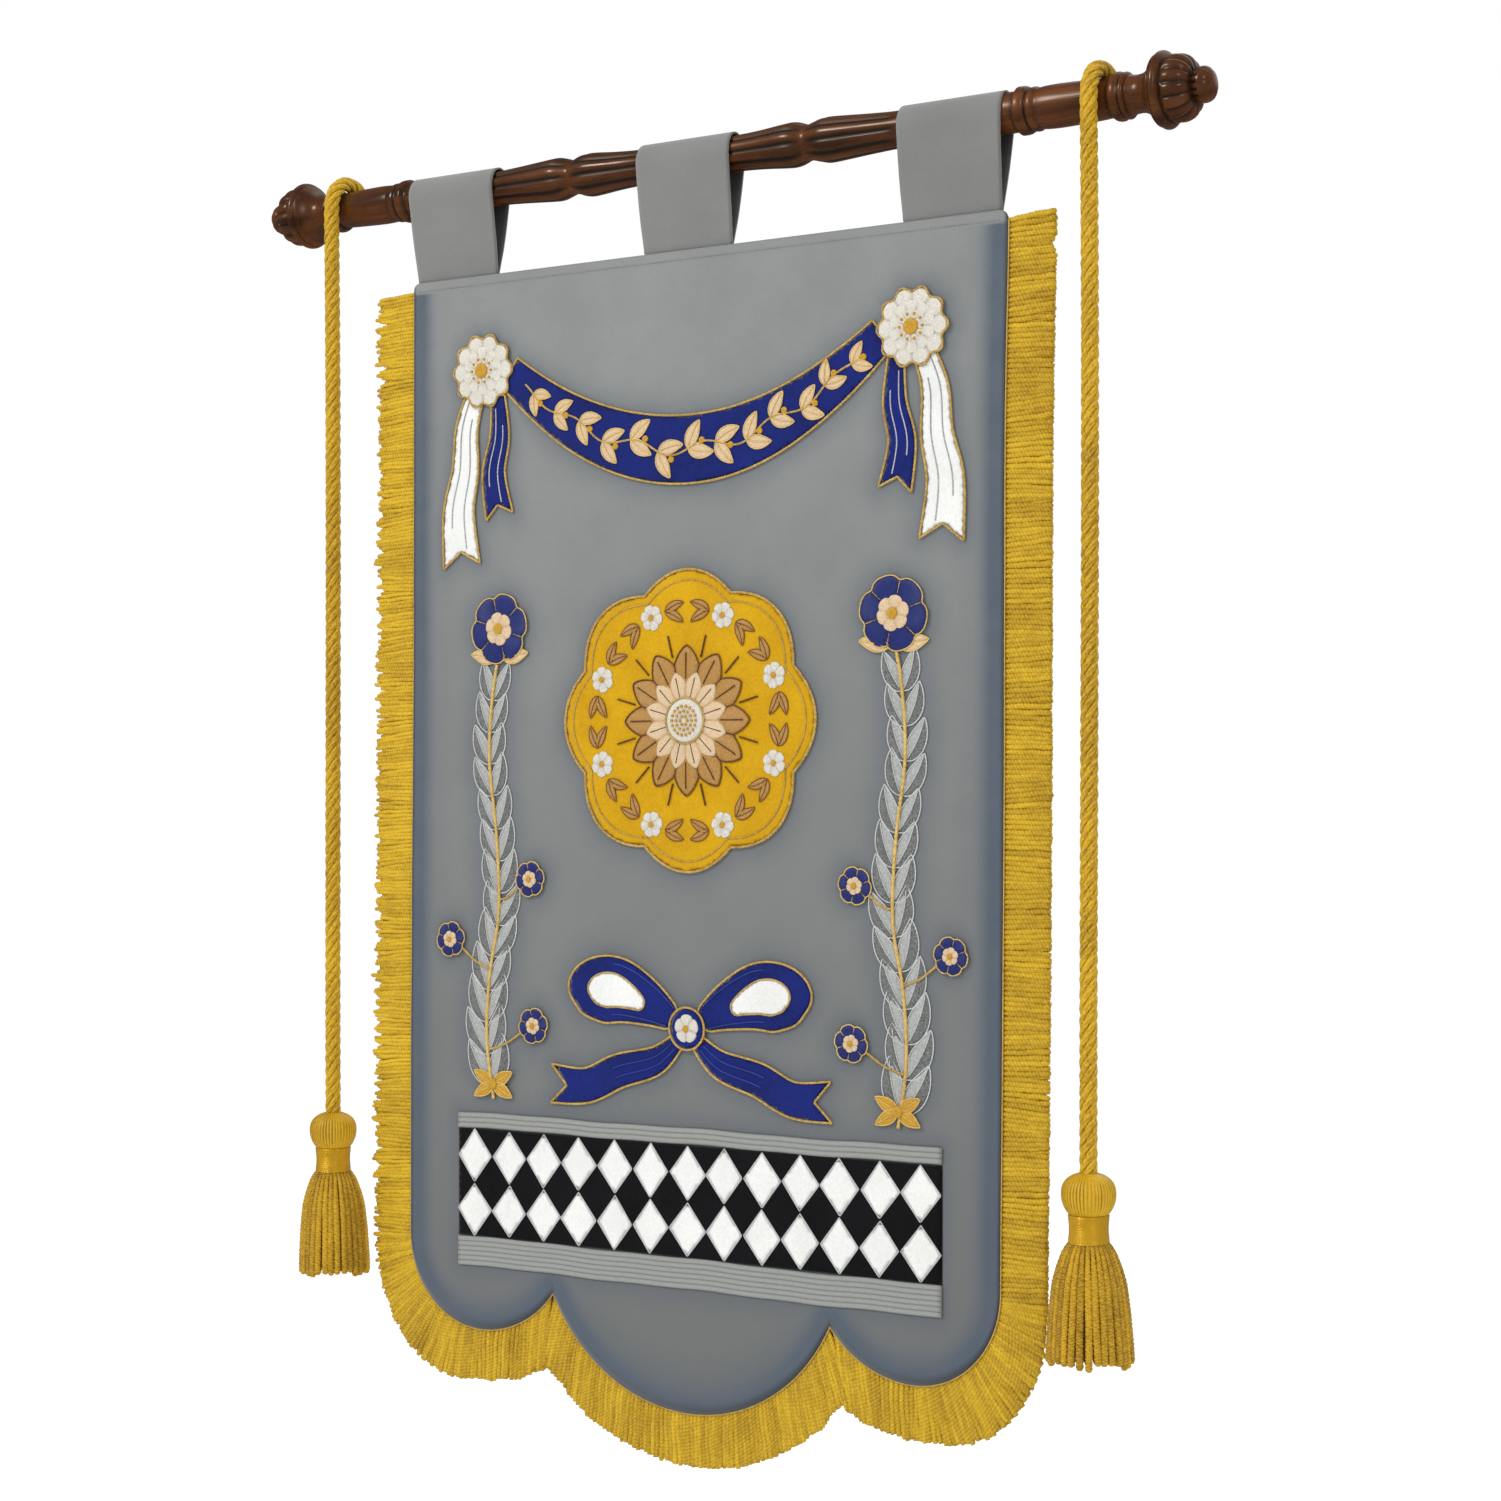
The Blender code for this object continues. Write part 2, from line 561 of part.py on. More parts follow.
def ribbon_patch(name, path, sign, level, finish, group):
    """A ribbon along a centre line of (x, z, width); sign mirrors it to the left."""
    centres = smooth_route(path, 2)
    rows = []
    for index, (x, z, width) in enumerate(centres):
        before = centres[max(0, index - 1)]
        after = centres[min(len(centres) - 1, index + 1)]
        along = Vector((after[0] - before[0], after[1] - before[1])).normalized()
        reach = (-along.y * width / 2, along.x * width / 2)
        row = [on_panel(sign * (x + share * reach[0]), z + share * reach[1], level)
               for share in (-1.0, 0.0, 1.0)]
        rows.append(row if sign > 0 else list(reversed(row)))
    sheet(name, rows, APPLIQUE_THICK, finish, group)


def make_swag(finishes, group):
    """A blue swag between two rosettes, with white and blue tails."""
    path = []
    for index in range(SWAG_STATIONS + 1):
        share = -1.0 + 2.0 * index / SWAG_STATIONS
        width = SWAG_END_WIDTH + (SWAG_WIDTH - SWAG_END_WIDTH) * math.cos(share * math.pi / 2)
        path.append((SWAG_X * share, SWAG_HIGH - SWAG_DIP * (1 - share * share), width))
    ribbon_patch("swag", path, 1, 1, finishes["blue_felt"], group)

    def petals(angle):
        return ROSETTE_RADIUS * (0.93 + 0.07 * math.cos(10 * angle))

    for side, sign in (("left", -1), ("right", 1)):
        ribbon_patch("swag_tail_outer_" + side, OUTER_TAIL, sign, 1, finishes["white_felt"], group)
        ribbon_patch("swag_tail_inner_" + side, INNER_TAIL, sign, 1, finishes["blue_felt"], group)
        round_patch("rosette_" + side, sign * ROSETTE_X, ROSETTE_Z, petals, 40, 1, 2,
                    finishes["white_felt"], group)


def make_medallion(finishes, group):
    """A yellow foil with a tan flower and a small boss on it."""
    def foil(angle):
        return MEDALLION_RADIUS * (0.90 + 0.10 * abs(math.cos(MEDALLION_LOBES / 2 * angle)))

    def flower(angle):
        return FLOWER_RADIUS * (0.88 + 0.12 * math.cos(FLOWER_PETALS * angle))

    def boss(_angle):
        return BOSS_RADIUS

    round_patch("medallion", 0.0, MEDALLION_Z, foil, 48, 3, 1, finishes["yellow_felt"], group)
    round_patch("medallion_flower", 0.0, MEDALLION_Z, flower, 48, 2, 2,
                finishes["tan_thread"], group)
    round_patch("medallion_boss", 0.0, MEDALLION_Z, boss, 16, 1, 3, finishes["white_felt"], group)


def make_bow(finishes, group):
    """A flat blue bow: two loops, two tails and a knot over their roots."""
    for side, sign in (("left", -1), ("right", 1)):
        ribbon_patch("bow_loop_" + side, BOW_LOOP, sign, 1, finishes["blue_felt"], group)
        ribbon_patch("bow_tail_" + side, BOW_TAIL, sign, 1, finishes["blue_felt"], group)
    round_patch("bow_knot", 0.0, BOW_Z - 0.006, lambda _angle: KNOT_RADIUS, 16, 1, 2,
                finishes["blue_felt"], group)


def strip_patch(name, top, bottom, finish, group):
    """A straight strip across the panel."""
    rows = []
    for z in (top, (top + bottom) / 2, bottom):
        rows.append([on_panel(BAND_HALF * (2 * index / BAND_CELLS - 1), z, 1)
                     for index in range(BAND_CELLS + 1)])
    sheet(name, rows, APPLIQUE_THICK, finish, group)


def make_band(finishes, group):
    """A dark band that carries lozenges, between two silver braids."""
    strip_patch("lozenge_band", BAND_TOP, BAND_BOTTOM, finishes["black_felt"], group)
    low = BAND_TOP + BRAID_GAP
    strip_patch("braid_top", low + BRAID_WIDTH["braid_top"], low, finishes["silver_braid"], group)
    high = BAND_BOTTOM - BRAID_GAP
    strip_patch("braid_bottom", high, high - BRAID_WIDTH["braid_bottom"],
                finishes["silver_braid"], group)


def shade_round_pieces(group):
    """Smooth shading with sharp rims on everything that is a mesh."""
    for piece in group.objects:
        if piece.type == "MESH":
            piece.data.shade_smooth()
            piece.data.set_sharp_from_angle(angle=SMOOTH_ANGLE)


def main():
    clear_scene()
    group = bpy.data.collections.new("lodge_banner")
    bpy.context.scene.collection.children.link(group)
    finishes = make_finishes()
    make_bar(finishes, group)
    make_panel(finishes, group)
    for side in TAB_X:
        make_tab(side, finishes, group)
    make_fringes(finishes, group)
    for side in CORD_X:
        make_cord(side, finishes, group)
        make_tassel(side, finishes, group)
    make_swag(finishes, group)
    make_medallion(finishes, group)
    make_bow(finishes, group)
    make_band(finishes, group)
    shade_round_pieces(group)


main()
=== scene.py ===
"""Looks of the fringed lodge banner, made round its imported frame.

Frame: +X runs to the viewer's right along the crossbar, +Y into the wall, +Z up,
and the origin is the middle of the crossbar's axis.  All sizes are metres.
"""
import math

import bpy
import numpy as np
from mathutils import Matrix, Vector
from mathutils.geometry import delaunay_2d_cdt


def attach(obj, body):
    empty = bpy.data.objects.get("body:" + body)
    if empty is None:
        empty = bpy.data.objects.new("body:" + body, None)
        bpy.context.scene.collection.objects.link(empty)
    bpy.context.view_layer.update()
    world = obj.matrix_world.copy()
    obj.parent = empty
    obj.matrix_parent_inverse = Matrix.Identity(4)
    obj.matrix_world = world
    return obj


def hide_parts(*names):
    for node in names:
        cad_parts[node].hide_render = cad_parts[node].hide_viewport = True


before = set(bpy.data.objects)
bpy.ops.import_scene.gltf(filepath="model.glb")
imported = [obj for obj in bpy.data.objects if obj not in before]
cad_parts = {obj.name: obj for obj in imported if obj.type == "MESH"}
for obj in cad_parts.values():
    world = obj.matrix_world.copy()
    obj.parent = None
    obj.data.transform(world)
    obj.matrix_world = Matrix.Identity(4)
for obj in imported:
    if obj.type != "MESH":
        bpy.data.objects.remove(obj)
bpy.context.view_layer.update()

TAU = 2.0 * math.pi
BODY = "root"
FRONT = (0.0, 1.0, 0.0)       # tubes on the cloth are shaped about this direction
CAD_GAP = 0.0003              # between touching solids

# ------------------------------------------------------------------ camera
CAMERA_PLACE = (1.4307, -2.1074, -0.5555)
AZIMUTH = math.radians(33.0)
ELEVATION = math.radians(-0.5283)
ROLL = math.radians(-0.2331)
LENS = 67.93

# ------------------------------------ sizes of the CAD solids, as in part.py
# Three profiles differ a little: the finials' tips are blunt, the floss of the tassels' heads
# swells between its ties, and the skirts keep their width down to the foot.
OUTER_SHIFT = {-1: 0.0075, 1: 0.0050}
OUTER_START = 0.24
BAR_HALF = 0.4310
BAR_PROFILE = (
    (0.000, 0.0172), (0.030, 0.0168), (0.055, 0.0163), (0.080, 0.0176),
    (0.100, 0.0194), (0.1105, 0.0199), (0.1185, 0.0186), (0.1270, 0.0157),
    (0.1345, 0.0174), (0.1430, 0.0196), (0.1500, 0.0200), (0.1650, 0.0191),
    (0.1900, 0.0174), (0.2160, 0.0162), (0.2360, 0.0170), (0.2500, 0.0172),
    (0.3235, 0.0172), (0.3245, 0.0160), (0.3260, 0.0186), (0.3290, 0.0201),
    (0.3330, 0.0203), (0.3370, 0.0200), (0.3395, 0.0184), (0.3405, 0.0168),
    (0.3425, 0.0183), (0.3465, 0.0185), (0.3490, 0.0171), (0.3540, 0.0177),
    (0.3660, 0.0181), (0.3850, 0.0177), (0.4050, 0.0170), (0.4155, 0.0164),
    (0.4170, 0.0186), (0.4195, 0.0200), (0.4230, 0.0202), (0.4252, 0.0190),
    (0.4262, 0.0182), (0.4275, 0.0193), (0.4295, 0.0192), (0.4310, 0.0176),
)
FINIAL_PROFILE = (
    (0.0000, 0.0166), (0.0040, 0.0160), (0.0090, 0.0157), (0.0140, 0.0168),
    (0.0185, 0.0197), (0.0222, 0.0242), (0.0245, 0.0282), (0.0256, 0.0296),
    (0.0266, 0.0291), (0.0277, 0.0303), (0.0292, 0.0316), (0.0315, 0.0318),
    (0.0334, 0.0308), (0.0346, 0.0286), (0.0355, 0.0262), (0.0385, 0.0276),
    (0.0430, 0.0280), (0.0480, 0.0270), (0.0525, 0.0246), (0.0558, 0.0208),
    (0.0572, 0.0162), (0.0580, 0.0137), (0.0596, 0.0142), (0.0625, 0.0148),
    (0.0660, 0.0147), (0.0695, 0.0130), (0.0720, 0.0096), (0.0733, 0.0052),
    (0.0737, 0.0003),
)
PANEL_TOP = -0.0810
PANEL_HALF = 0.3190
PANEL_THICK = 0.0020
CORNER_RADIUS = 0.0070
CUSP_X = 0.1510
CUSP_Z = -1.0310
MIDDLE_DEPTH = 0.0935
SIDE_X = 0.2350
INNER_RADIUS = 0.1050
OUTER_RADIUS = PANEL_HALF - SIDE_X
SIDE_LOW = CUSP_Z - INNER_RADIUS + math.sqrt(INNER_RADIUS**2 - (SIDE_X - CUSP_X) ** 2)
CORNER_Z = SIDE_LOW + OUTER_RADIUS
MIDDLE_RADIUS = (CUSP_X**2 + MIDDLE_DEPTH**2) / (2 * MIDDLE_DEPTH)
MIDDLE_Z = CUSP_Z - MIDDLE_DEPTH + MIDDLE_RADIUS
TROUGHS = (
    (-0.235, -0.33, 0.10, 0.070, 0.30, 0.0024),
    (-0.120, -0.20, -0.05, 0.060, 0.16, -0.0016),
    (0.060, -0.17, 0.06, 0.060, 0.15, 0.0018),
    (0.150, -0.45, -0.04, 0.080, 0.33, -0.0016),
    (0.262, -0.62, 0.02, 0.070, 0.40, 0.0020),
    (-0.040, -0.86, 0.00, 0.110, 0.24, 0.0018),
    (-0.290, -0.80, -0.03, 0.070, 0.26, -0.0018),
)
TOP_Y = -0.0030
LEAN = -0.0085
HANG = 0.95
SETTLE = 0.16
FLARE = 0.0040
FLARE_FADE = 0.13
TAPER = 0.0050
TAB_X = {"left": -0.2665, "middle": 0.0, "right": 0.2705}
TAB_FRONT = {"left": 0.0042, "middle": 0.0033, "right": 0.0045}
TAB_BACK = {"left": 0.0005, "middle": 0.0000, "right": 0.0022}
TAB_FOOT = {"left": -0.0012, "middle": -0.0030, "right": -0.0021}
TAB_HALF_TOP = 0.0500
TAB_HALF_BACK = 0.0468
TAB_HALF_SEAM = 0.0480
TAB_HALF_TAIL = 0.0465
TAB_THICK = 0.0014
TAB_RADIUS = 0.0178
TAIL_LENGTH = 0.0065
FRINGE_DEPTH = 0.0480
RIGHT_DEPTH = 0.0435
FRINGE_LAP = 0.0045
FRINGE_TOP = -0.0883
FRINGE_SPLIT = -1.0080
CORNER_DROOP = 0.0110
SIDE_DROOP = 0.0060
SLIT_ANGLE = 0.03
MIDDLE_TIP_X = 0.1650
CORD_X = {"left": -0.4040, "right": 0.4095}
CORD_DRIFT = {"left": 0.0, "right": -0.0040}
CORD_ROUTE = (
    (0.0000, 0.0233, -0.0085), (0.0000, 0.0248, 0.0000), (0.0000, 0.0229, 0.0095),
    (0.0000, 0.0175, 0.0175), (0.0000, 0.0095, 0.0229), (0.0000, 0.0000, 0.0248),
    (0.0000, -0.0095, 0.0229), (0.0000, -0.0175, 0.0175), (0.0000, -0.0230, 0.0095),
    (0.0001, -0.0251, -0.0010), (0.0003, -0.0254, -0.0200), (0.0005, -0.0253, -0.0500),
    (0.0008, -0.0252, -0.1100), (0.0010, -0.0251, -0.1900), (0.0010, -0.0252, -0.2800),
    (0.0008, -0.0252, -0.3700), (0.0004, -0.0253, -0.4600), (0.0000, -0.0253, -0.5500),
    (-0.0004, -0.0254, -0.6400), (-0.0008, -0.0254, -0.7300), (-0.0010, -0.0254, -0.8100),
    (-0.0010, -0.0254, -0.8785),
)
HEAD_PROFILE = (
    (0.0000, 0.0085), (0.0020, 0.0138), (0.0056, 0.0187), (0.0108, 0.0217),
    (0.0165, 0.0225), (0.0222, 0.0219), (0.0274, 0.0201), (0.0312, 0.0179), (0.0335, 0.0158),
)
SKIRT_PROFILE = (
    (0.0565, 0.0170), (0.0585, 0.0198), (0.0650, 0.0238), (0.0770, 0.0278),
    (0.0890, 0.0306), (0.1120, 0.0334), (0.1390, 0.0355), (0.1510, 0.0360), (0.1540, 0.0360),
)
SWAG_X = 0.2030
SWAG_HIGH = -0.1750
SWAG_DIP = 0.0860
SWAG_WIDTH = 0.0620
SWAG_END_WIDTH = 0.0320
ROSETTE_X = 0.2330
ROSETTE_Z = -0.1720
ROSETTE_RADIUS = 0.0350
OUTER_TAIL = ((0.2420, -0.1900, 0.020), (0.2540, -0.2250, 0.026), (0.2560, -0.2650, 0.031),
              (0.2640, -0.3050, 0.036), (0.2600, -0.3550, 0.043))
INNER_TAIL = ((0.2165, -0.1960, 0.016), (0.2150, -0.2350, 0.023), (0.2220, -0.2700, 0.027),
              (0.2150, -0.3100, 0.033))
MEDALLION_Z = -0.5050
MEDALLION_RADIUS = 0.1360
FLOWER_RADIUS = 0.0680
BOSS_RADIUS = 0.0200
BOW_Z = -0.7750
BOW_LOOP = ((0.0130, -0.7750, 0.020), (0.0420, -0.7600, 0.042), (0.0780, -0.7490, 0.060),
            (0.1080, -0.7530, 0.058), (0.1240, -0.7640, 0.030))
BOW_TAIL = ((0.0120, -0.7940, 0.016), (0.0360, -0.8120, 0.026), (0.0760, -0.8230, 0.031),
            (0.1120, -0.8380, 0.032), (0.1520, -0.8380, 0.036))
KNOT_RADIUS = 0.0190
BAND_HALF = 0.2600
BAND_TOP = -0.8850
BAND_BOTTOM = -0.9860
BRAID_GAP = 0.0006
BRAID_WIDTH = {"braid_top": 0.0140, "braid_bottom": 0.0270}


# ------------------------------------------------------------------ helpers
def linear(red, green, blue):
    """A colour given as 0-255 screen values, for a shader."""
    made = []
    for value in (red, green, blue):
        share = value / 255.0
        made.append(share / 12.92 if share <= 0.04045 else ((share + 0.055) / 1.055) ** 2.4)
    return (*made, 1.0)


def smoothstep(low, high, value):
    share = np.clip((value - low) / (high - low), 0.0, 1.0)
    return share * share * (3.0 - 2.0 * share)


def unit(vectors):
    return vectors / np.maximum(np.linalg.norm(vectors, axis=-1, keepdims=True), 1e-12)


def smooth_line(points, samples):
    """Points read from a Catmull-Rom curve through the given ones."""
    route = np.asarray(points, float)
    last = len(route) - 1
    read = []
    for index in range(last):
        before, start = route[max(0, index - 1)], route[index]
        end, after = route[index + 1], route[min(last, index + 2)]
        for step in range(samples):
            t = step / samples
            read.append(0.5 * (2 * start + (end - before) * t
                               + (2 * before - 5 * start + 4 * end - after) * t**2
                               + (3 * start - 3 * end + after - before) * t**3))
    return np.array(read + [route[-1]])


def run_along(line):
    """How far along a line each of its points is."""
    steps = np.linalg.norm(np.diff(line, axis=0), axis=1)
    return np.concatenate([[0.0], np.cumsum(steps)])


def spaced(points, step, closed=False):
    """The same line with points an even step apart."""
    line = np.asarray(points, float)
    if closed:
        line = np.vstack([line, line[:1]])
    along = run_along(line)
    count = max(3, int(round(along[-1] / step)))
    where = np.linspace(0.0, along[-1], count + 1)
    if closed:
        where = where[:-1]
    return np.stack([np.interp(where, along, line[:, k]) for k in range(line.shape[1])], axis=1)


def hang_y(x, z):
    """Y of the cloth's front: a slight forward lean with soft troughs and small creases."""
    x = np.clip(x, -PANEL_HALF, PANEL_HALF)
    down = np.clip((PANEL_TOP - z) / HANG, 0.0, 1.0)
    freedom = smoothstep(0.0, SETTLE, PANEL_TOP - z)
    y = TOP_Y + LEAN * down
    for middle_x, middle_z, slant, wide, tall, depth in TROUGHS:
        across = (x - middle_x - slant * (z - middle_z)) / wide
        along = (z - middle_z) / tall
        y = y + freedom * depth * np.exp(-across * across - along * along)
    crease = (np.sin(61.0 * x + 17.0 * z + 1.0) * np.sin(9.0 * z - 7.0 * x)
              + 0.7 * np.sin(83.0 * x - 29.0 * z) * np.sin(14.0 * z + 11.0 * x + 2.0))
    return y + 0.00022 * freedom * crease


def spread(x, z):
    """X of a point of the hanging cloth: its right side flares at the top, draws in below."""
    down = np.clip((PANEL_TOP - z) / HANG, 0.0, 1.0)
    shift = x / PANEL_HALF * (FLARE * np.exp(-((down / FLARE_FADE) ** 2)) - TAPER * down**2)
    return np.where(x > 0, x + shift, x)


def panel_bottom(x):
    """Z of the scalloped lower edge."""
    out = np.abs(x)
    middle = MIDDLE_Z - np.sqrt(np.maximum(0.0, MIDDLE_RADIUS**2 - out**2))
    inner = SIDE_LOW + INNER_RADIUS - np.sqrt(
        np.maximum(0.0, INNER_RADIUS**2 - (out - SIDE_X) ** 2))
    outer = CORNER_Z - np.sqrt(np.maximum(0.0, OUTER_RADIUS**2 - (out - SIDE_X) ** 2))
    return np.where(out <= CUSP_X, middle, np.where(out <= SIDE_X, inner, outer))


def panel_top(x):
    """Z of the upper edge, rounded at its two corners."""
    inset = np.maximum(0.0, np.abs(x) - (PANEL_HALF - CORNER_RADIUS))
    return PANEL_TOP - CORNER_RADIUS + np.sqrt(np.maximum(0.0, CORNER_RADIUS**2 - inset**2))


def on_cloth(flat, lift):
    """Points of the panel's plane, (x, z), raised by lift from the cloth's front."""
    x, z = flat[..., 0], flat[..., 1]
    return joined(x, hang_y(x, z) - lift, z)


def on_spread(x, z, lift):
    """The same for what follows the panel's edges, which spread to the right."""
    return joined(spread(x, z), hang_y(x, z) - lift, z)


def around(count):
    """Evenly spaced angles of one turn."""
    return TAU * np.arange(count) / count


def joined(*parts):
    """Coordinates put together as the last axis of one array."""
    return np.stack(np.broadcast_arrays(*parts), -1)


def ray(angle):
    """A step of one unit at an angle, in (x, z)."""
    return joined(np.cos(angle), np.sin(angle))


def swung(x, z, radius, angle):
    """Points at a radius from (x, z), by their angle from straight down."""
    return joined(x + radius * np.sin(angle), z - radius * np.cos(angle))


def quarter_turn(vectors):
    return joined(-vectors[..., 1], vectors[..., 0])


def zigzag(turns):
    """A wave that is 1 at whole turns and 0 half-way between them."""
    return np.abs(np.mod(turns, 1.0) * 2.0 - 1.0)


# ------------------------------------------------------------- mesh builder
UNEVEN = 0.0171               # sets the twist of neighbouring strands out of step
RIM_BULGE = 0.8               # how round the rim of a cloth is
BATCH = 4000                  # points whose distances are found at a time
PATCH_CELL = 0.0042
ROW_SHARE = 0.87              # a patch's rows of staggered points, as a share of its cell
CLEAR_SHARE = 0.45            # no point lies closer than this share of a cell to the edge
# across a leaf, from edge to edge: where its points are and how high they stand
LEAF_ACROSS = np.array([-1.0, -0.85, -0.5, -0.07, 0.07, 0.5, 0.85, 1.0])
LEAF_SWELL = np.array([0.0, 0.65, 1.0, 0.72, 0.72, 1.0, 0.65, 0.0])
LEAF_ROWS = 12
PAD_SHARES = np.array([0.08, 0.3, 0.52, 0.72, 0.87, 0.96, 1.0])
CORD_STEP = 0.0018
EASE_STEP = 0.0010
EASE_WINDOW = 0.0210


class Build:
    """Vertices, faces, texture coordinates and tones that become one mesh."""

    def __init__(self):
        self.verts, self.faces, self.corners, self.tones, self.slots = [], [], [], [], []
        self.count = 0

    def add(self, verts, faces, corners, tone=0.5, slot=0):
        verts = np.asarray(verts, float).reshape(-1, 3)
        self.verts.append(verts)
        self.faces.append(np.asarray(faces, int) + self.count)
        self.corners.append(np.asarray(corners, float).reshape(-1, 2))
        self.tones.append(np.broadcast_to(tone, len(verts)))
        self.slots.append(np.full(len(faces), slot))
        self.count += len(verts)

    def close(self, loop):
        """One flat face over a loop of vertices."""
        self.faces.append(loop[None])
        self.corners.append(np.zeros((len(loop), 2)))
        self.slots.append(np.zeros(1, int))

    def make(self, name, paint, *nodes, reverse=None, more=None):
        """One piece that rides on the body and stands for its CAD nodes."""
        mesh = bpy.data.meshes.new(name)
        faces = [face for block in self.faces for face in block.tolist()]
        mesh.from_pydata(np.concatenate(self.verts).tolist(), [], faces)
        layer = mesh.uv_layers.new(name="UVMap")
        layer.data.foreach_set("uv", np.concatenate(self.corners).ravel())
        values = {"tone": np.concatenate(self.tones), **(more or {})}
        for label, numbers in values.items():
            attribute = mesh.attributes.new(label, "FLOAT", "POINT")
            attribute.data.foreach_set("value", np.asarray(numbers, float))
        colour, material = PAINT[paint]
        mesh.materials.append(material)
        if reverse:
            mesh.materials.append(PAINT[reverse][1])
        mesh.polygons.foreach_set("material_index", np.concatenate(self.slots))
        mesh.shade_smooth()
        piece = bpy.data.objects.new(name, mesh)
        bpy.context.scene.collection.objects.link(piece)
        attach(piece, BODY)
        if nodes:
            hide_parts(*nodes)
        return piece


def cells(grid):
    """The corners of every cell of a grid, four to a row."""
    four = np.stack([grid[:-1, :-1], grid[1:, :-1], grid[1:, 1:], grid[:-1, 1:]], axis=2)
    return four.reshape((-1, 4) + grid.shape[2:])


def surface(build, points, uv, tone, wrap=False):
    """Quads over a grid of points.

    wrap joins its two sides, closes its first and last rows, and takes one more column of uv.
    """
    rows, cols = points.shape[:2]
    index = np.arange(rows * cols).reshape(rows, cols)
    loops = build.count + index
    looped = np.hstack([index, index[:, :1]]) if wrap else index
    build.add(points, cells(looped), cells(uv), np.broadcast_to(tone, (rows, cols)).reshape(-1))
    if wrap:
        build.close(loops[0])
        build.close(loops[-1, ::-1])


def tubes(build, lines, radius, sides, ref, tone, lobes=0, depth=0.0, pitch=1.0, phase=0.0,
          valley_shade=0.0):
    """Round or lobed tubes along lines of equal count.

    The lobes wind round once in each pitch, and the last argument is how much darker their valleys
    are painted, as shade.
    """
    lines = np.asarray(lines, float)
    lines = lines.reshape((-1,) + lines.shape[-2:])
    strands, samples, _ = lines.shape
    tangent = unit(np.gradient(lines, axis=1))
    steps = np.linalg.norm(np.diff(lines, axis=1), axis=2)
    along = np.concatenate([np.zeros((strands, 1)), np.cumsum(steps, axis=1)], axis=1)
    normal = unit(ref - (ref * tangent).sum(-1, keepdims=True) * tangent)
    binormal = np.cross(tangent, normal)
    angle = around(sides)
    turn = lobes * (angle + TAU * along[..., None] / pitch) - np.reshape(phase, (-1, 1, 1))
    relief = np.cos(turn) * (lobes > 0)
    size = np.broadcast_to(radius, (strands, samples))[..., None] * (1.0 + depth * relief)
    ring = (np.cos(angle)[:, None] * normal[:, :, None]
            - np.sin(angle)[:, None] * binormal[:, :, None])
    points = lines[:, :, None] + size[..., None] * ring
    # painted shade: the lobes' valleys darker
    tone = np.broadcast_to(tone, (strands, samples))[..., None] + valley_shade * relief
    u = np.arange(sides + 1) / sides
    for index in range(strands):
        v = along[index][:, None] + UNEVEN * index
        surface(build, points[index], joined(u, v), tone[index], wrap=True)


def lathe(build, stations, radii, origin, axes, tone):
    """A closed turned solid, from its radii at every station and angle.

    It is made about +X, turned onto the rows of axes and moved to its origin.
    """
    sides = radii.shape[1]
    angle = around(sides)
    x = stations[:, None]
    points = joined(x, -radii * np.cos(angle), radii * np.sin(angle))
    uv = joined(np.arange(sides + 1) / sides, x)
    surface(build, points @ axes + origin, uv, tone, wrap=True)


def slab(build, grid, thickness, uv, tone=0.5, slots=(0, 0)):
    """A closed cloth round a grid of its middle surface, with rounded rims."""
    rows, cols, _ = grid.shape
    normal = unit(np.cross(np.gradient(grid, axis=0), np.gradient(grid, axis=1)))
    half = thickness / 2
    index = np.arange(rows * cols).reshape(rows, cols)
    tone = np.broadcast_to(tone, (rows, cols)).reshape(-1)
    front_rim = build.count + rim_loop(index)
    build.add(grid + normal * half, cells(index), cells(uv), tone, slots[0])
    back_rim = build.count + rim_loop(index)
    build.add(grid - normal * half, cells(index)[:, ::-1], cells(uv)[:, ::-1], tone, slots[1])
    edge, away = (values.reshape(-1, 3)[rim_loop(index)] for values in (grid, normal))
    forward = unit(np.roll(edge, -1, axis=0) - np.roll(edge, 1, axis=0))
    middle = build.count + np.arange(len(edge))
    rim_uv = uv.reshape(-1, 2)[rim_loop(index)]
    next_uv = np.roll(rim_uv, -1, 0)
    build.verts.append(edge + np.cross(forward, away) * half * RIM_BULGE)
    build.tones.append(tone[rim_loop(index)])
    build.count += len(edge)
    for one, other in ((front_rim, middle), (middle, back_rim)):
        build.faces.append(joined(one, np.roll(one, -1), np.roll(other, -1), other))
        build.corners.append(np.hstack([rim_uv, next_uv, next_uv, rim_uv]).reshape(-1, 2))
        build.slots.append(np.zeros(len(edge), int))


def rim_loop(grid):
    """The values along a grid's four edges, in order."""
    return np.concatenate([grid[0, :-1], grid[:-1, -1], grid[-1, :0:-1], grid[:0:-1, 0]])


def border_distance(points, outline):
    """How far each (x, z) point is from a closed outline."""
    start, end = outline, np.roll(outline, -1, axis=0)
    side = end - start
    square = np.maximum((side**2).sum(1), 1e-14)
    best = np.full(len(points), 1e9)
    for low in range(0, len(points), BATCH):
        part = points[low:low + BATCH]
        offset = part[:, None, :] - start[None]
        share = np.clip((offset * side).sum(2) / square, 0.0, 1.0)
        gap = offset - share[..., None] * side
        best[low:low + BATCH] = np.sqrt((gap**2).sum(2)).min(1)
    return best


def inside(points, outline):
    """Which (x, z) points lie in a closed outline."""
    start, end = outline, np.roll(outline, -1, axis=0)
    x, z = points[:, :1], points[:, 1:]
    crosses = (start[:, 1] > z) != (end[:, 1] > z)
    run = np.where(np.abs(end[:, 1] - start[:, 1]) < 1e-12, 1e-12, end[:, 1] - start[:, 1])
    at = start[:, 0] + (z - start[:, 1]) * (end[:, 0] - start[:, 0]) / run
    return ((crosses & (x < at)).sum(1) % 2) == 1


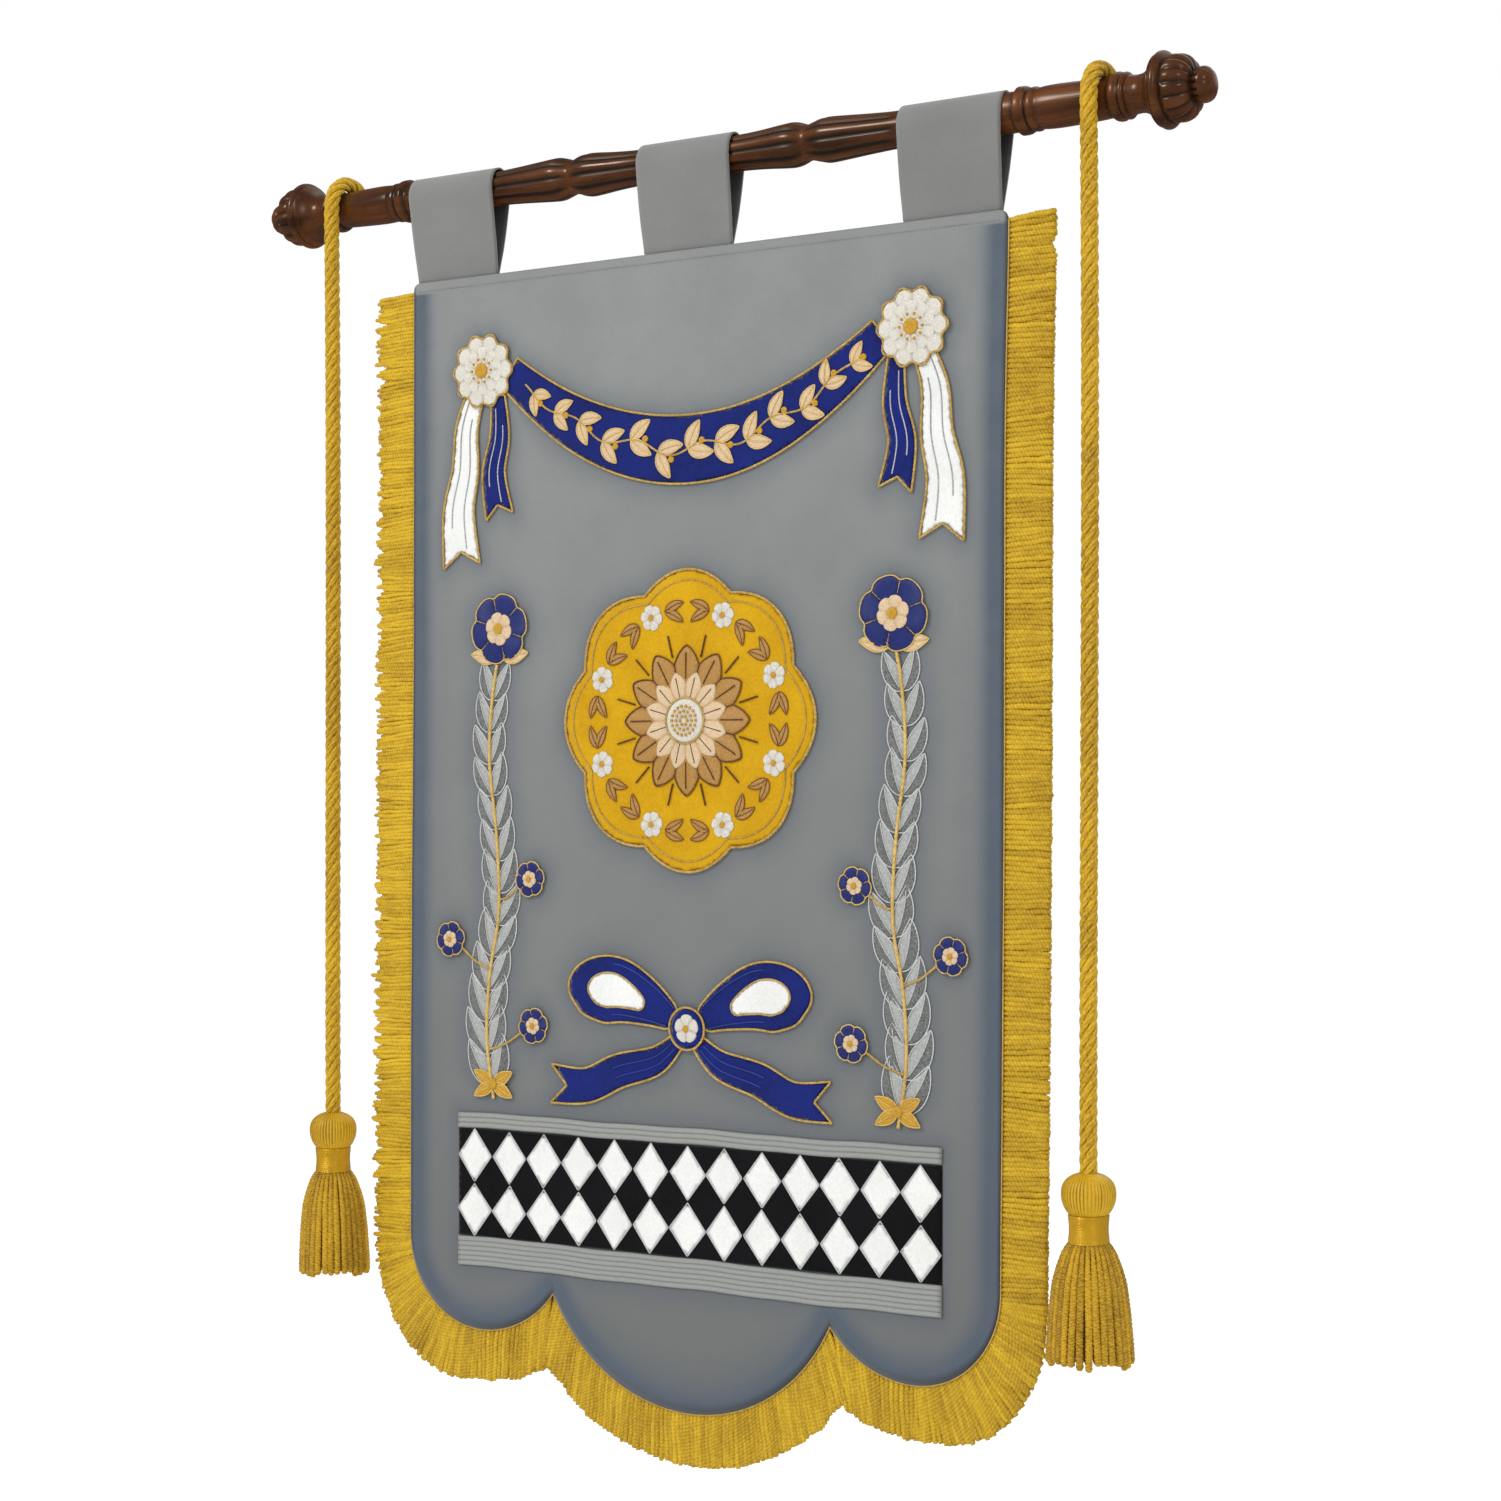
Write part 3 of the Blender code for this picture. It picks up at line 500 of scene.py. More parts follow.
def patch(build, outline, base, thick, cell=PATCH_CELL, soft=0.0014):
    """A closed, soft-edged cloth on the panel, from its (x, z) outline."""
    border = spaced(outline, cell, closed=True)
    after = np.roll(border, -1, axis=0)
    if np.sum(border[:, 0] * after[:, 1] - after[:, 0] * border[:, 1]) < 0.0:
        border = border[::-1]
    low, high = border.min(0), border.max(0)
    xs = np.arange(low[0] + cell / 2, high[0], cell)
    zs = np.arange(low[1] + cell / 2, high[1], cell * ROW_SHARE)
    grid = np.array([(x + (cell / 2 if row % 2 else 0), z)
                     for row, z in enumerate(zs) for x in xs]).reshape(-1, 2)
    grid = grid[inside(grid, border)]
    grid = grid[border_distance(grid, border) > CLEAR_SHARE * cell]
    points = [Vector(point) for point in np.vstack([border, grid]).tolist()]
    made = delaunay_2d_cdt(points, [], [list(range(len(border)))], 1, 1e-7)
    flat = np.array([tuple(point) for point in made[0]])
    faces = np.array([face for face in made[2] if len(face) == 3])
    gap = border_distance(flat, border)
    inner = np.flatnonzero(gap >= 1e-6)
    rise = np.sqrt(1.0 - (1.0 - np.clip(gap / soft, 0.0, 1.0)) ** 2)
    front = on_cloth(flat, base + thick * (0.25 + 0.75 * rise))
    back = on_cloth(flat[inner], base)
    under = np.arange(len(flat))
    under[inner] = len(flat) + np.arange(len(inner))
    uv = (flat - (low + high) / 2) * 1000.0
    build.add(np.vstack([front, back]), np.vstack([faces, under[faces][:, ::-1]]),
              np.vstack([uv[faces], uv[faces[:, ::-1]]]))


def cord_round(build, outline, lift, radius, tone=0.5, closed=True):
    """A thin twisted cord laid on the cloth along a line of (x, z) points."""
    line = spaced(outline, CORD_STEP, closed)
    if closed:
        line = np.vstack([line, line[:2]])
    tubes(build, on_cloth(line, lift), radius, 6, FRONT, lobes=2, depth=0.2,
          pitch=4 * CORD_STEP, tone=tone, valley_shade=0.08)


def ribbon(path, sign, samples=8):
    """The long edges of a ribbon along (x, z, width), its outline and its middle line."""
    line = smooth_line(path, samples)
    reach = quarter_turn(unit(np.gradient(line[:, :2], axis=0))) * line[:, 2:3] / 2
    one, other = line[:, :2] + reach, line[:, :2] - reach
    for edge in (one, other, line):
        edge[:, 0] *= sign
    return one, other, np.vstack([one, other[::-1]]), line


def polar(x, z, reach):
    """A closed outline from its distances from a centre."""
    return (x, z) + reach[:, None] * ray(around(len(reach)))


def circle(x, z, radius, count=60):
    return polar(x, z, np.full(count, radius))


def eased(outline):
    """A closed outline with its corners eased by a running mean."""
    line = spaced(outline, EASE_STEP, closed=True)
    reach = int(EASE_WINDOW / EASE_STEP / 2)
    return np.mean([np.roll(line, shift, axis=0) for shift in range(-reach, reach + 1)], axis=0)


def satin_leaf(build, trim, x, z, angle, length, width, bend, base, thick=0.0011,
               tones=(0.5, 0.5), edge=0.0006):
    """A padded leaf whose threads slant from its vein; trim takes the cord round it.

    Returns its outline.
    """
    share = np.linspace(0.0, 1.0, LEAF_ROWS)
    turn = angle + bend * share
    run = np.cumsum(ray(turn) * (length / (LEAF_ROWS - 1)), axis=0)
    middle = np.array([x, z]) + run - run[:1]
    half = width / 2 * np.sin(math.pi * np.clip(share, 0.002, 0.998) ** 0.8) ** 0.85
    reach = quarter_turn(ray(turn)) * half[:, None]
    flat = middle[:, None] + reach[:, None] * LEAF_ACROSS[:, None]
    plump = np.sin(np.linspace(0.2, math.pi - 0.2, LEAF_ROWS))[:, None] ** 0.5
    out, along = half[:, None] * np.abs(LEAF_ACROSS), length * share[:, None]
    rim = build.count + np.arange(flat[..., 0].size).reshape(flat.shape[:2])
    surface(build, on_cloth(flat, base + thick * plump * LEAF_SWELL),
            joined(along + out, along - out) * 700.0, np.where(LEAF_ACROSS < 0.0, *tones))
    build.close(np.concatenate([rim[:, -1], rim[::-1, 0]]))
    outline = np.vstack([middle + reach, (middle - reach)[-2:0:-1]])
    cord_round(trim, outline, base + thick * 0.5, edge, tone=0.9)
    cord_round(trim, middle[1:-1], base + thick, edge * 0.8, closed=False, tone=0.9)
    return outline


def padded(build, x, z, reach, base, thick, clefts=0.0):
    """A padded round of stitches; clefts sinks it between petals, 0 to 1 at every angle, and
    darkens it there as painted shade.
    """
    share = PAD_SHARES[:, None]
    angle = around(len(reach))
    flat = (x, z) + share[..., None] * reach[:, None] * ray(angle)
    sunk = clefts * smoothstep(0.05, 0.45, share)
    rise = np.sqrt(1.0 - share**6) * (1.0 - 0.6 * sunk)
    size = reach.max() * 1000.0
    uv = joined(share * size, np.append(angle, TAU) * size * 0.6)
    # darker where it sinks between petals: painted shade
    surface(build, on_cloth(flat, base + thick * rise), uv, 0.5 - 0.5 * sunk**2, wrap=True)


def blossom(build, x, z, radius, petals, base, turn, thick, dip=0.15, blunt=3.5, trim=None):
    """Padded petals about a centre, edged with fine cord where trim is given."""
    cleft = zigzag(petals * (around(petals * 12) - turn) / TAU + 0.5)
    reach = radius * (1.0 - dip * cleft**blunt)
    padded(build, x, z, reach, base, thick, cleft**5)
    if trim:
        cord_round(trim, polar(x, z, reach), base + thick * 0.4, 0.0006, tone=0.8)
        for index in range(petals):
            spoke(trim, x, z, turn + TAU * (index + 0.5) / petals, radius * 0.45,
                  radius * (1.0 - dip), base + thick * 0.4, 0.00045)


def spoke(build, x, z, angle, start, end, lift, radius):
    """A cord along a ray from a centre."""
    ends = (x, z) + np.outer((start, end), ray(angle))
    cord_round(build, ends, lift, radius, closed=False)


def dot(build, x, z, radius, base, thick=0.0016):
    """A small padded knot of stitches."""
    padded(build, x, z, np.full(12, radius), base, thick)


# ---------------------------------------------------------------- materials
class Shade:
    """Writes one Principled material, node by node."""

    def __init__(self, name, roughness, **sockets):
        self.material = bpy.data.materials.new(name)
        self.material.use_nodes = True
        self.tree = self.material.node_tree
        self.shader = self.tree.nodes["Principled BSDF"]
        self.shader.inputs["Roughness"].default_value = roughness
        for label, value in sockets.items():
            self.shader.inputs[label.replace("_", " ")].default_value = value

    def put(self, kind, **settings):
        node = self.tree.nodes.new(kind)
        for label, value in settings.items():
            setattr(node, label, value)
        return node

    def feed(self, sockets, *values):
        """Sets or links each socket."""
        for socket, value in zip(sockets, values):
            if isinstance(value, (int, float, tuple)):
                socket.default_value = value
            else:
                self.tree.links.new(value, socket)

    def calc(self, operation, *values):
        node = self.put("ShaderNodeMath", operation=operation)
        self.feed(node.inputs, *values)
        return node.outputs[0]

    def times(self, first, second):
        return self.calc("MULTIPLY", first, second)

    def plus(self, total, *values):
        for value in values:
            total = self.calc("ADD", total, value)
        return total

    def mix(self, factor, first, second):
        node = self.put("ShaderNodeMix", data_type="RGBA")
        self.feed([node.inputs[index] for index in (0, 6, 7)], factor, first, second)
        return node.outputs[2]

    def axes(self, kind="Object"):
        split = self.put("ShaderNodeSeparateXYZ")
        self.feed(split.inputs, self.put("ShaderNodeTexCoord").outputs[kind])
        return split.outputs

    def noise(self, scale, detail, rough=0.55, stretch=(1.0, 1.0, 1.0)):
        node = self.put("ShaderNodeTexNoise")
        mapping = self.put("ShaderNodeMapping")
        place = self.put("ShaderNodeTexCoord").outputs["Object"]
        self.feed([mapping.inputs[label] for label in ("Scale", "Vector")], stretch, place)
        labels = ("Scale", "Detail", "Roughness", "Vector")
        self.feed([node.inputs[label] for label in labels], scale, detail, rough,
                  mapping.outputs[0])
        return node.outputs["Fac"]

    def attribute(self, name):
        return self.put("ShaderNodeAttribute", attribute_name=name).outputs["Fac"]

    def fit(self, value, low=0.0, high=1.0, to_low=0.0, to_high=1.0):
        node = self.put("ShaderNodeMapRange", clamp=True)
        self.feed(node.inputs, value, low, high, to_low, to_high)
        return node.outputs[0]

    def wave(self, *terms):
        """A sine from 0 to 1 of a weighted sum of sockets; the weights are turns for each unit."""
        total = self.plus(*(self.times(socket, TAU * weight) for socket, weight in terms))
        return self.calc("MULTIPLY_ADD", self.calc("SINE", total), 0.5, 0.5)

    def weave(self, first, second, pitch):
        """Threads that cross at the same pitch."""
        return self.times(self.wave((first, 1 / pitch)), self.wave((second, 1 / pitch)))

    def finish(self, colour, height=None, distance=0.0003, strength=0.5, rough=None):
        self.tree.links.new(colour, self.shader.inputs["Base Color"])
        if height is not None:
            bump = self.put("ShaderNodeBump")
            self.feed([bump.inputs[label] for label in ("Strength", "Distance", "Height")],
                      strength, distance, height)
            self.tree.links.new(bump.outputs[0], self.shader.inputs["Normal"])
        if rough is not None:
            self.tree.links.new(rough, self.shader.inputs["Roughness"])
        return self.material


def scaled(colour, factor):
    return tuple(min(1.0, value * factor) for value in colour[:3]) + (1.0,)


def woven(name, colour, pitch=0.0013, shaded=False, sheen=0.25):
    """Wool cloth: a fine weave, soft mottling and, where shaded, airbrushed edges, a darker rim
    and painted shade that darkens it towards the foot.
    """
    shade = Shade(name, 0.86, Sheen_Weight=sheen, Sheen_Roughness=0.5, Specular_IOR_Level=0.25)
    colour = linear(*colour)
    x, _, z = shade.axes()
    weave = shade.weave(x, z, pitch)
    cloud = shade.noise(9.0, 4.0, 0.6)
    fluff = shade.noise(900.0, 3.0, 0.7)
    tint = shade.mix(shade.fit(cloud, 0.35, 0.65), scaled(colour, 0.93), scaled(colour, 1.06))
    tint = shade.mix(shade.fit(fluff, 0.30, 0.70, 0.0, 0.32), tint, scaled(colour, 0.72))
    tint = shade.mix(shade.times(weave, 0.10), tint, scaled(colour, 1.4))
    if shaded:
        # painted shade: the panel darkens towards its foot
        tint = shade.mix(shade.fit(z, -0.15, -1.08), tint, scaled(colour, 0.58))
        blue = shade.times(shade.attribute("tone"),
                           shade.fit(shade.noise(30.0, 3.0), 0.2, 0.8, 0.82, 1.0))
        tint = shade.mix(blue, tint, linear(72, 84, 97))
        tint = shade.mix(shade.attribute("rim"), tint, linear(50, 52, 55))
    height = shade.plus(shade.times(weave, 0.6), shade.times(fluff, 0.9))
    return shade.finish(tint, height, 0.0003, 0.55)


def yarn(name, dark, light, plies=2.0, pitch=0.002, rough=0.62, depth=0.0004, gloss=0.3,
         mottle=0.20, metal=0.0):
    """Twisted yarn: fibres wind round each strand by its own texture coordinates."""
    shade = Shade(name, rough, Sheen_Weight=0.05, Sheen_Roughness=0.4, Specular_IOR_Level=gloss,
                  Metallic=metal, Anisotropic=1.6 * metal)
    u, v, _ = shade.axes("UV")
    fibre = shade.wave((u, plies), (v, 1.0 / pitch))
    fleck = shade.noise(330.0, 2.0, 0.6)
    fuzz = shade.noise(1400.0, 2.0, 0.7)
    cloud = shade.noise(26.0, 3.0, 0.6)
    tone = shade.plus(shade.attribute("tone"), shade.fit(cloud, 0.3, 0.7, -0.12, 0.12),
                      shade.fit(fibre, 0.0, 1.0, -0.16, 0.10),
                      shade.fit(fleck, 0.32, 0.68, -mottle, mottle))
    height = shade.plus(fibre, shade.times(fuzz, 0.7))
    return shade.finish(shade.mix(shade.fit(tone), linear(*dark), linear(*light)), height, depth,
                        0.7)


def stitched(name, colour, dark, pitch=0.62):
    """Satin stitch: threads side by side, in millimetres of the patch's coordinates."""
    shade = Shade(name, 0.45, Sheen_Weight=0.1, Sheen_Roughness=0.4, Anisotropic=0.4)
    thread = shade.wave((shade.axes("UV")[1], 1 / pitch))
    fleck = shade.noise(700.0, 2.0, 0.6)
    tone = shade.calc("MULTIPLY_ADD", thread, 0.45, shade.fit(fleck, 0.3, 0.7, 0.0, 0.45))
    tone = shade.plus(tone, shade.plus(shade.attribute("tone"), -0.5))
    height = shade.calc("MULTIPLY_ADD", fleck, 0.4, thread)
    return shade.finish(shade.mix(shade.fit(tone), linear(*dark), linear(*colour)), height,
                        0.00025, 0.6)


def felt(name, colour, dark, sheen=0.3):
    """Dense felt with a short nap and a faint cross weave."""
    shade = Shade(name, 0.88, Sheen_Weight=sheen, Sheen_Roughness=0.35, Specular_IOR_Level=0.2)
    u, v, _ = shade.axes("UV")
    fluff = shade.noise(420.0, 4.0, 0.75)
    tone = shade.plus(shade.fit(fluff, 0.25, 0.75, 0.0, 0.75),
                      shade.fit(shade.noise(22.0, 3.0), 0.3, 0.7, -0.1, 0.3),
                      shade.plus(shade.attribute("tone"), -0.5))
    height = shade.calc("MULTIPLY_ADD", shade.weave(u, v, 1.1), 0.35, fluff)
    return shade.finish(shade.mix(shade.fit(tone), linear(*dark), linear(*colour)), height,
                        0.0004)


def wood(name):
    """Polished dark mahogany: grain along the bar, black polish left in the cuts with painted
    shade there.
    """
    shade = Shade(name, 0.3, Specular_IOR_Level=0.62, Specular_Tint=(1.0, 0.86, 0.70, 1.0))
    grain = shade.noise(46.0, 5.0, 0.62, (0.09, 1.0, 1.0))
    pores = shade.noise(900.0, 2.0, 0.6, (0.035, 1.0, 1.0))
    cloud = shade.noise(17.0, 3.0, 0.5, (0.35, 1.0, 1.0))
    # the tone attribute: polish in the cuts and painted shade in them
    polish_and_shade = shade.attribute("tone")
    tint = shade.mix(shade.fit(grain, 0.34, 0.68), linear(42, 21, 8), linear(114, 62, 26))
    tint = shade.mix(shade.fit(cloud, 0.35, 0.7, 0.0, 0.6), tint, linear(62, 31, 10))
    tint = shade.mix(shade.fit(pores, 0.58, 0.72, 0.0, 0.6), tint, linear(24, 12, 7))
    tint = shade.mix(polish_and_shade, tint, linear(15, 8, 5))
    rough = shade.fit(shade.plus(grain, shade.times(polish_and_shade, 0.5)), 0.3, 1.0, 0.22, 0.42)
    return shade.finish(tint, shade.plus(grain, pores), 0.00025, 0.25, rough)


def braid_cloth(name, colour, dark):
    """Silver braid: ribs run along it, crossed by fine wound thread."""
    shade = Shade(name, 0.45, Metallic=0.1, Sheen_Weight=0.2)
    u, v, _ = shade.axes("UV")
    wound_thread = shade.wave((u, 1 / 0.9), (v, 0.35))
    tone = shade.calc("MULTIPLY_ADD", wound_thread, 0.3, shade.attribute("tone"))
    tone = shade.plus(tone, shade.fit(shade.noise(800.0, 2.0), 0.3, 0.7, -0.15, 0.1))
    tint = shade.mix(shade.fit(tone, 0.0, 1.2), linear(*dark), linear(*colour))
    return shade.finish(tint, wound_thread)


def plain(name, colour, rough):
    """A plain studio floor with the faintest unevenness."""
    shade = Shade(name, rough, Emission_Color=(1.0, 1.0, 1.0, 1.0), Emission_Strength=0.08,
                  Specular_IOR_Level=0.0)
    colour = linear(*colour)
    return shade.finish(shade.mix(shade.noise(1.2, 2.0), colour, scaled(colour, 0.99)))


# the colour slot of the CAD part, and the material
PAINT = {
    "field": ("grey_cloth", woven("grey_wool", (129, 131, 130), shaded=True)),
    # the tabs' wool is the panel's cloth painted darker, as shade
    "tab": ("grey_cloth", woven("grey_wool_tab", (120, 120, 119))),
    "reverse": ("grey_cloth", woven("charcoal_reverse", (80, 82, 82), 0.0016, sheen=0.1)),
    "thread": ("grey_cloth", stitched("sewing_thread", (152, 154, 153), (108, 110, 110), 0.3)),
    "fringe": ("gold_fringe", yarn("gold_fringe_yarn", (132, 94, 4), (214, 176, 34),
                                   pitch=0.0032, mottle=0.13)),
    "piping": ("gold_fringe", yarn("pale_gold_piping", (124, 92, 28), (200, 168, 92))),
    "rope": ("gold_cord", yarn("gold_rope_yarn", (104, 62, 2), (212, 170, 32), 4.0, 0.0075,
                               rough=0.5)),
    "head": ("gold_cord", yarn("gold_floss", (96, 54, 0), (210, 166, 22), 1.0, 0.5,
                               rough=0.40, depth=0.00010, mottle=0.08)),
    "neck": ("gold_cord", yarn("gold_binding", (170, 112, 8), (250, 198, 44), 0.0, 0.00055,
                               rough=0.26, depth=0.00013, gloss=0.6, mottle=0.04, metal=0.50)),
    "skirt": ("gold_cord", yarn("gold_bullion", (84, 50, 1), (204, 160, 28), pitch=0.0024)),
    "edge_cord": ("tan_thread", yarn("gold_edge_cord", (120, 84, 24), (222, 188, 106),
                                     rough=0.42, depth=0.0002)),
    "brown_cord": ("tan_thread", yarn("brown_edge_cord", (62, 34, 12), (126, 78, 34),
                                      rough=0.5, depth=0.0002)),
    "blue": ("blue_felt", felt("blue_felt", (20, 38, 124), (9, 19, 74))),
    "white": ("white_felt", felt("white_felt", (232, 233, 230), (206, 207, 204), 0.2)),
    "yellow": ("yellow_felt", felt("yellow_felt", (208, 164, 10), (176, 128, 4), 0.15)),
    "black": ("black_felt", felt("black_felt", (20, 21, 24), (8, 8, 10), 0.1)),
    "tan": ("tan_thread", stitched("tan_satin", (206, 160, 84), (140, 92, 30))),
    "cream": ("tan_thread", stitched("cream_satin", (236, 216, 184), (186, 150, 104))),
    "ivory": ("white_felt", stitched("ivory_satin", (238, 236, 228), (176, 168, 152))),
    "azure": ("blue_felt", stitched("azure_satin", (26, 50, 142), (6, 14, 62))),
    "gold": ("yellow_felt", stitched("gold_satin", (228, 180, 40), (160, 108, 8))),
    "silver": ("silver_braid", stitched("silver_satin", (194, 196, 194), (62, 64, 64))),
    "braid": ("silver_braid", braid_cloth("silver_braid", (160, 162, 158), (86, 88, 86))),
    "wood": ("dark_wood", wood("mahogany")),
}


# ------------------------------------------------------------------- camera
def make_camera():
    """The camera, turned a little about its own axis."""
    back = Vector((math.sin(AZIMUTH) * math.cos(ELEVATION),
                   -math.cos(AZIMUTH) * math.cos(ELEVATION), math.sin(ELEVATION)))
    level = Vector((math.cos(AZIMUTH), math.sin(AZIMUTH), 0.0))
    upright = level.cross(-back)
    right = math.cos(ROLL) * level + math.sin(ROLL) * upright
    up = -math.sin(ROLL) * level + math.cos(ROLL) * upright
    data = bpy.data.cameras.new("camera")
    data.lens = LENS
    data.sensor_width = 36.0
    data.clip_start = 0.05
    camera = bpy.data.objects.new("camera", data)
    bpy.context.scene.collection.objects.link(camera)
    camera.matrix_world = Matrix.Translation(CAMERA_PLACE) @ Matrix(
        (right, up, back)).transposed().to_4x4()
    bpy.context.scene.camera = camera


# -------------------------------------------------------- cords and tassels
LEVEL = np.array([1.0, 0.0, 0.0])
ROPE_STRANDS = 5
ROPE_LEAD = 0.0560            # a strand goes round the rope once in this length
ROPE_START = {"left": 0.6, "right": 0.0}
ROPE_STEP = 0.0030
STRAND_RADIUS = 0.00272
STRAND_CENTRE = 0.00475
STRAND_LEAD = 0.0340
CORE_RADIUS = 0.0040
INTO_HEAD = 0.0140            # the length of rope inside its tassel's head
WHIPPING_START = 0.0015
WHIPPING_TURNS = 9
WHIPPING_PITCH = 0.0011
WHIPPING_RADIUS = 0.0074
WHIPPING_THREAD = 0.00062
WHIPPING_STEP = 0.0001
TURN_SAMPLES = 20
BALL_THREADS = 46
THREAD_SIDES = 4              # the ball's points round it for each thread
THREAD_GROOVE = 0.00075
NECK_SPAN = (0.0336, 0.0566)  # how far below the ball's top the neck starts and ends
NECK_MIDDLE = 0.0450
NECK_RADIUS = 0.0165
NECK_WAIST = 0.0004
NECK_WAIST_LENGTH = 0.025
NECK_THREAD = 0.00075
NECK_RELIEF = 0.00008
SKIRT_TOP = 0.0562
SKIRT_CORE = 0.0035           # no strand comes nearer to the skirt's middle than this
SKIRT_STRAND = (0.0019, 0.0013)   # a strand's radius at its top, and what it gains below
SKIRT_LEAD = 0.0080
SKIRT_WIDTH = {"left": 0.94, "right": 1.0}
SKIRT_LEAN = {"left": 0.0018, "right": 0.0006}
# strands, inset, share of a step that the first is turned, extra length, samples and sides
SKIRT_RINGS = ((31, 0.0032, 0.0, 0.0, 56, 6), (25, 0.0088, 0.5, -0.002, 40, 5),
               (14, 0.0170, 0.25, -0.004, 24, 5))
HANGING = np.array([(0.0, 0.0, -1.0), (0.0, 1.0, 0.0), (1.0, 0.0, 0.0)])


def cord_line(side):
    """The cord's centreline, with points close together, into the tassel's head."""
    route = [(CORD_X[side] + x + CORD_DRIFT[side] * min(0.0, z) / CORD_ROUTE[-1][2], y, z)
             for x, y, z in CORD_ROUTE]
    x, y, z = route[-1]
    route.append((x, y, z - INTO_HEAD))
    return spaced(smooth_line(route, 8), ROPE_STEP)


def wound(line, tangent, angle, radius):
    """A line that winds round another one, turned by an angle at each point."""
    normal = unit(LEVEL - (tangent @ LEVEL)[:, None] * tangent)
    binormal = np.cross(tangent, normal)
    return line + radius * (np.cos(angle)[:, None] * normal + np.sin(angle)[:, None] * binormal)


def make_rope(side, line):
    """Strands laid up to the right round a core painted darkest, as shade in the gaps between
    strands.
    """
    tangent = unit(np.gradient(line, axis=0))
    along = ROPE_STEP * np.arange(len(line))
    strands = [wound(line, tangent, TAU * along / ROPE_LEAD + start + ROPE_START[side],
                     STRAND_CENTRE) for start in around(ROPE_STRANDS)]
    tone = 0.72 + 0.04 * np.sin(9.0 * along) + 0.03 * np.sin(41.0 * along)
    tone = tone + 0.03 * np.cos(2.0 * np.arange(ROPE_STRANDS))[:, None]
    build = Build()
    tubes(build, strands, STRAND_RADIUS, 12, LEVEL, lobes=4, depth=0.075, pitch=STRAND_LEAD,
          tone=tone, valley_shade=0.10)
    # the core takes the darkest tone: painted shade between the strands
    tubes(build, line, CORE_RADIUS, 6, LEVEL, tone=0.1)
    return build.make("rope_" + side, "rope", "cord_" + side)


def make_whipping(side, line):
    """Thread wound round the rope's end behind the bar."""
    near = spaced(line[:7], WHIPPING_STEP)
    count = WHIPPING_TURNS * TURN_SAMPLES
    end = WHIPPING_START + WHIPPING_TURNS * WHIPPING_PITCH
    where = np.linspace(WHIPPING_START, end, count)
    spot = np.clip((where / WHIPPING_STEP).astype(int), 1, len(near) - 2)
    tangent = unit(near[spot + 1] - near[spot - 1])
    coil = wound(near[spot], tangent, TAU * np.arange(count) / TURN_SAMPLES, WHIPPING_RADIUS)
    build = Build()
    tubes(build, coil, WHIPPING_THREAD, 8, (0.0, 0.0, 1.0), tone=0.45)
    return build.make("whipping_" + side, "neck")


def make_ball(side, top, random):
    """A tassel's head: floss side by side, its threads wandering a little."""
    profile = smooth_line(HEAD_PROFILE, 5)
    angle = around(BALL_THREADS * THREAD_SIDES)
    wander = 0.35 * np.sin(3 * angle + random.uniform(0, 6)) + 0.2 * np.sin(7 * angle)
    groove = (1.0 - np.abs(np.sin(angle * BALL_THREADS / 2 + wander))) ** 2
    swell = np.sin(math.pi * np.clip(profile[:, 0] / HEAD_PROFILE[-1][0], 0.02, 0.98))[:, None]
    radii = profile[:, 1:2] - THREAD_GROOVE * (0.35 + 0.65 * swell) * groove
    build = Build()
    # darker down the grooves between threads, most round the swell: painted shade
    lathe(build, profile[:, 0], radii, top, HANGING, 0.80 - 0.80 * groove * (0.5 + 0.5 * swell))
    return build.make("tassel_ball_" + side, "head", "tassel_head_" + side)


def make_neck(side, top):
    """A tassel's waist, bound with close turns of thread."""
    depth = np.linspace(*NECK_SPAN, 93)
    thread = NECK_RELIEF * np.sin(TAU * depth / NECK_THREAD)
    waist = NECK_RADIUS + thread - NECK_WAIST * np.cos(
        TAU * (depth - NECK_MIDDLE) / NECK_WAIST_LENGTH)
    waist[[0, -1]] -= 0.0006
    build = Build()
    lathe(build, depth, np.repeat(waist[:, None], 40, axis=1), top, HANGING, 0.66)
    return build.make("tassel_binding_" + side, "neck", "tassel_neck_" + side)


def make_skirt(side, top, random):
    """Three rings of twisted bullion strands, each of its own length and lean."""
    x, y, z = top
    build = Build()
    profile = np.array(SKIRT_PROFILE)
    for count, inset, offset, longer, samples, sides in SKIRT_RINGS:
        strands, tones = [], []
        t = np.linspace(0.0, 1.0, samples)
        for index in range(count):
            low = SKIRT_PROFILE[-1][0] + longer + random.uniform(-0.0042, 0.0020)
            fall = SKIRT_TOP + (low - SKIRT_TOP) * t
            out = np.interp(fall, profile[:, 0], profile[:, 1]) - inset
            out = np.maximum(out, SKIRT_CORE) + random.uniform(-0.0005, 0.0004) * t
            out = out * (1.0 - (1.0 - SKIRT_WIDTH[side]) * t)
            turn = TAU * (index + offset + random.uniform(-0.16, 0.16) * t) / count
            turn = turn + 0.02 * np.sin(5.0 * t + random.uniform(0, 6)) * t
            strands.append(joined(x + out * np.sin(turn) + SKIRT_LEAN[side] * t,
                                  y - out * np.cos(turn), z - fall))
            # random tones, with painted shade near the top under the binding and on the inner
            # rings
            tones.append(random.uniform(0.56, 0.86) - 0.20 * (1 - smoothstep(0.0, 0.10, t))
                         - 26.0 * (inset - SKIRT_RINGS[0][1]))
        strands = np.array(strands)
        size = SKIRT_STRAND[0] + SKIRT_STRAND[1] * smoothstep(0.0, 0.40, t)
        size[-1] *= 0.55
        outward = strands * (1, 1, 0) - np.array([x, y, 0.0])
        tubes(build, strands, size, sides, unit(outward), lobes=2, depth=0.11,
              pitch=-SKIRT_LEAD, phase=random.uniform(0, 6, count), tone=np.array(tones),
              valley_shade=0.05)
    return build.make("tassel_skirt_strands_" + side, "skirt", "tassel_skirt_" + side)


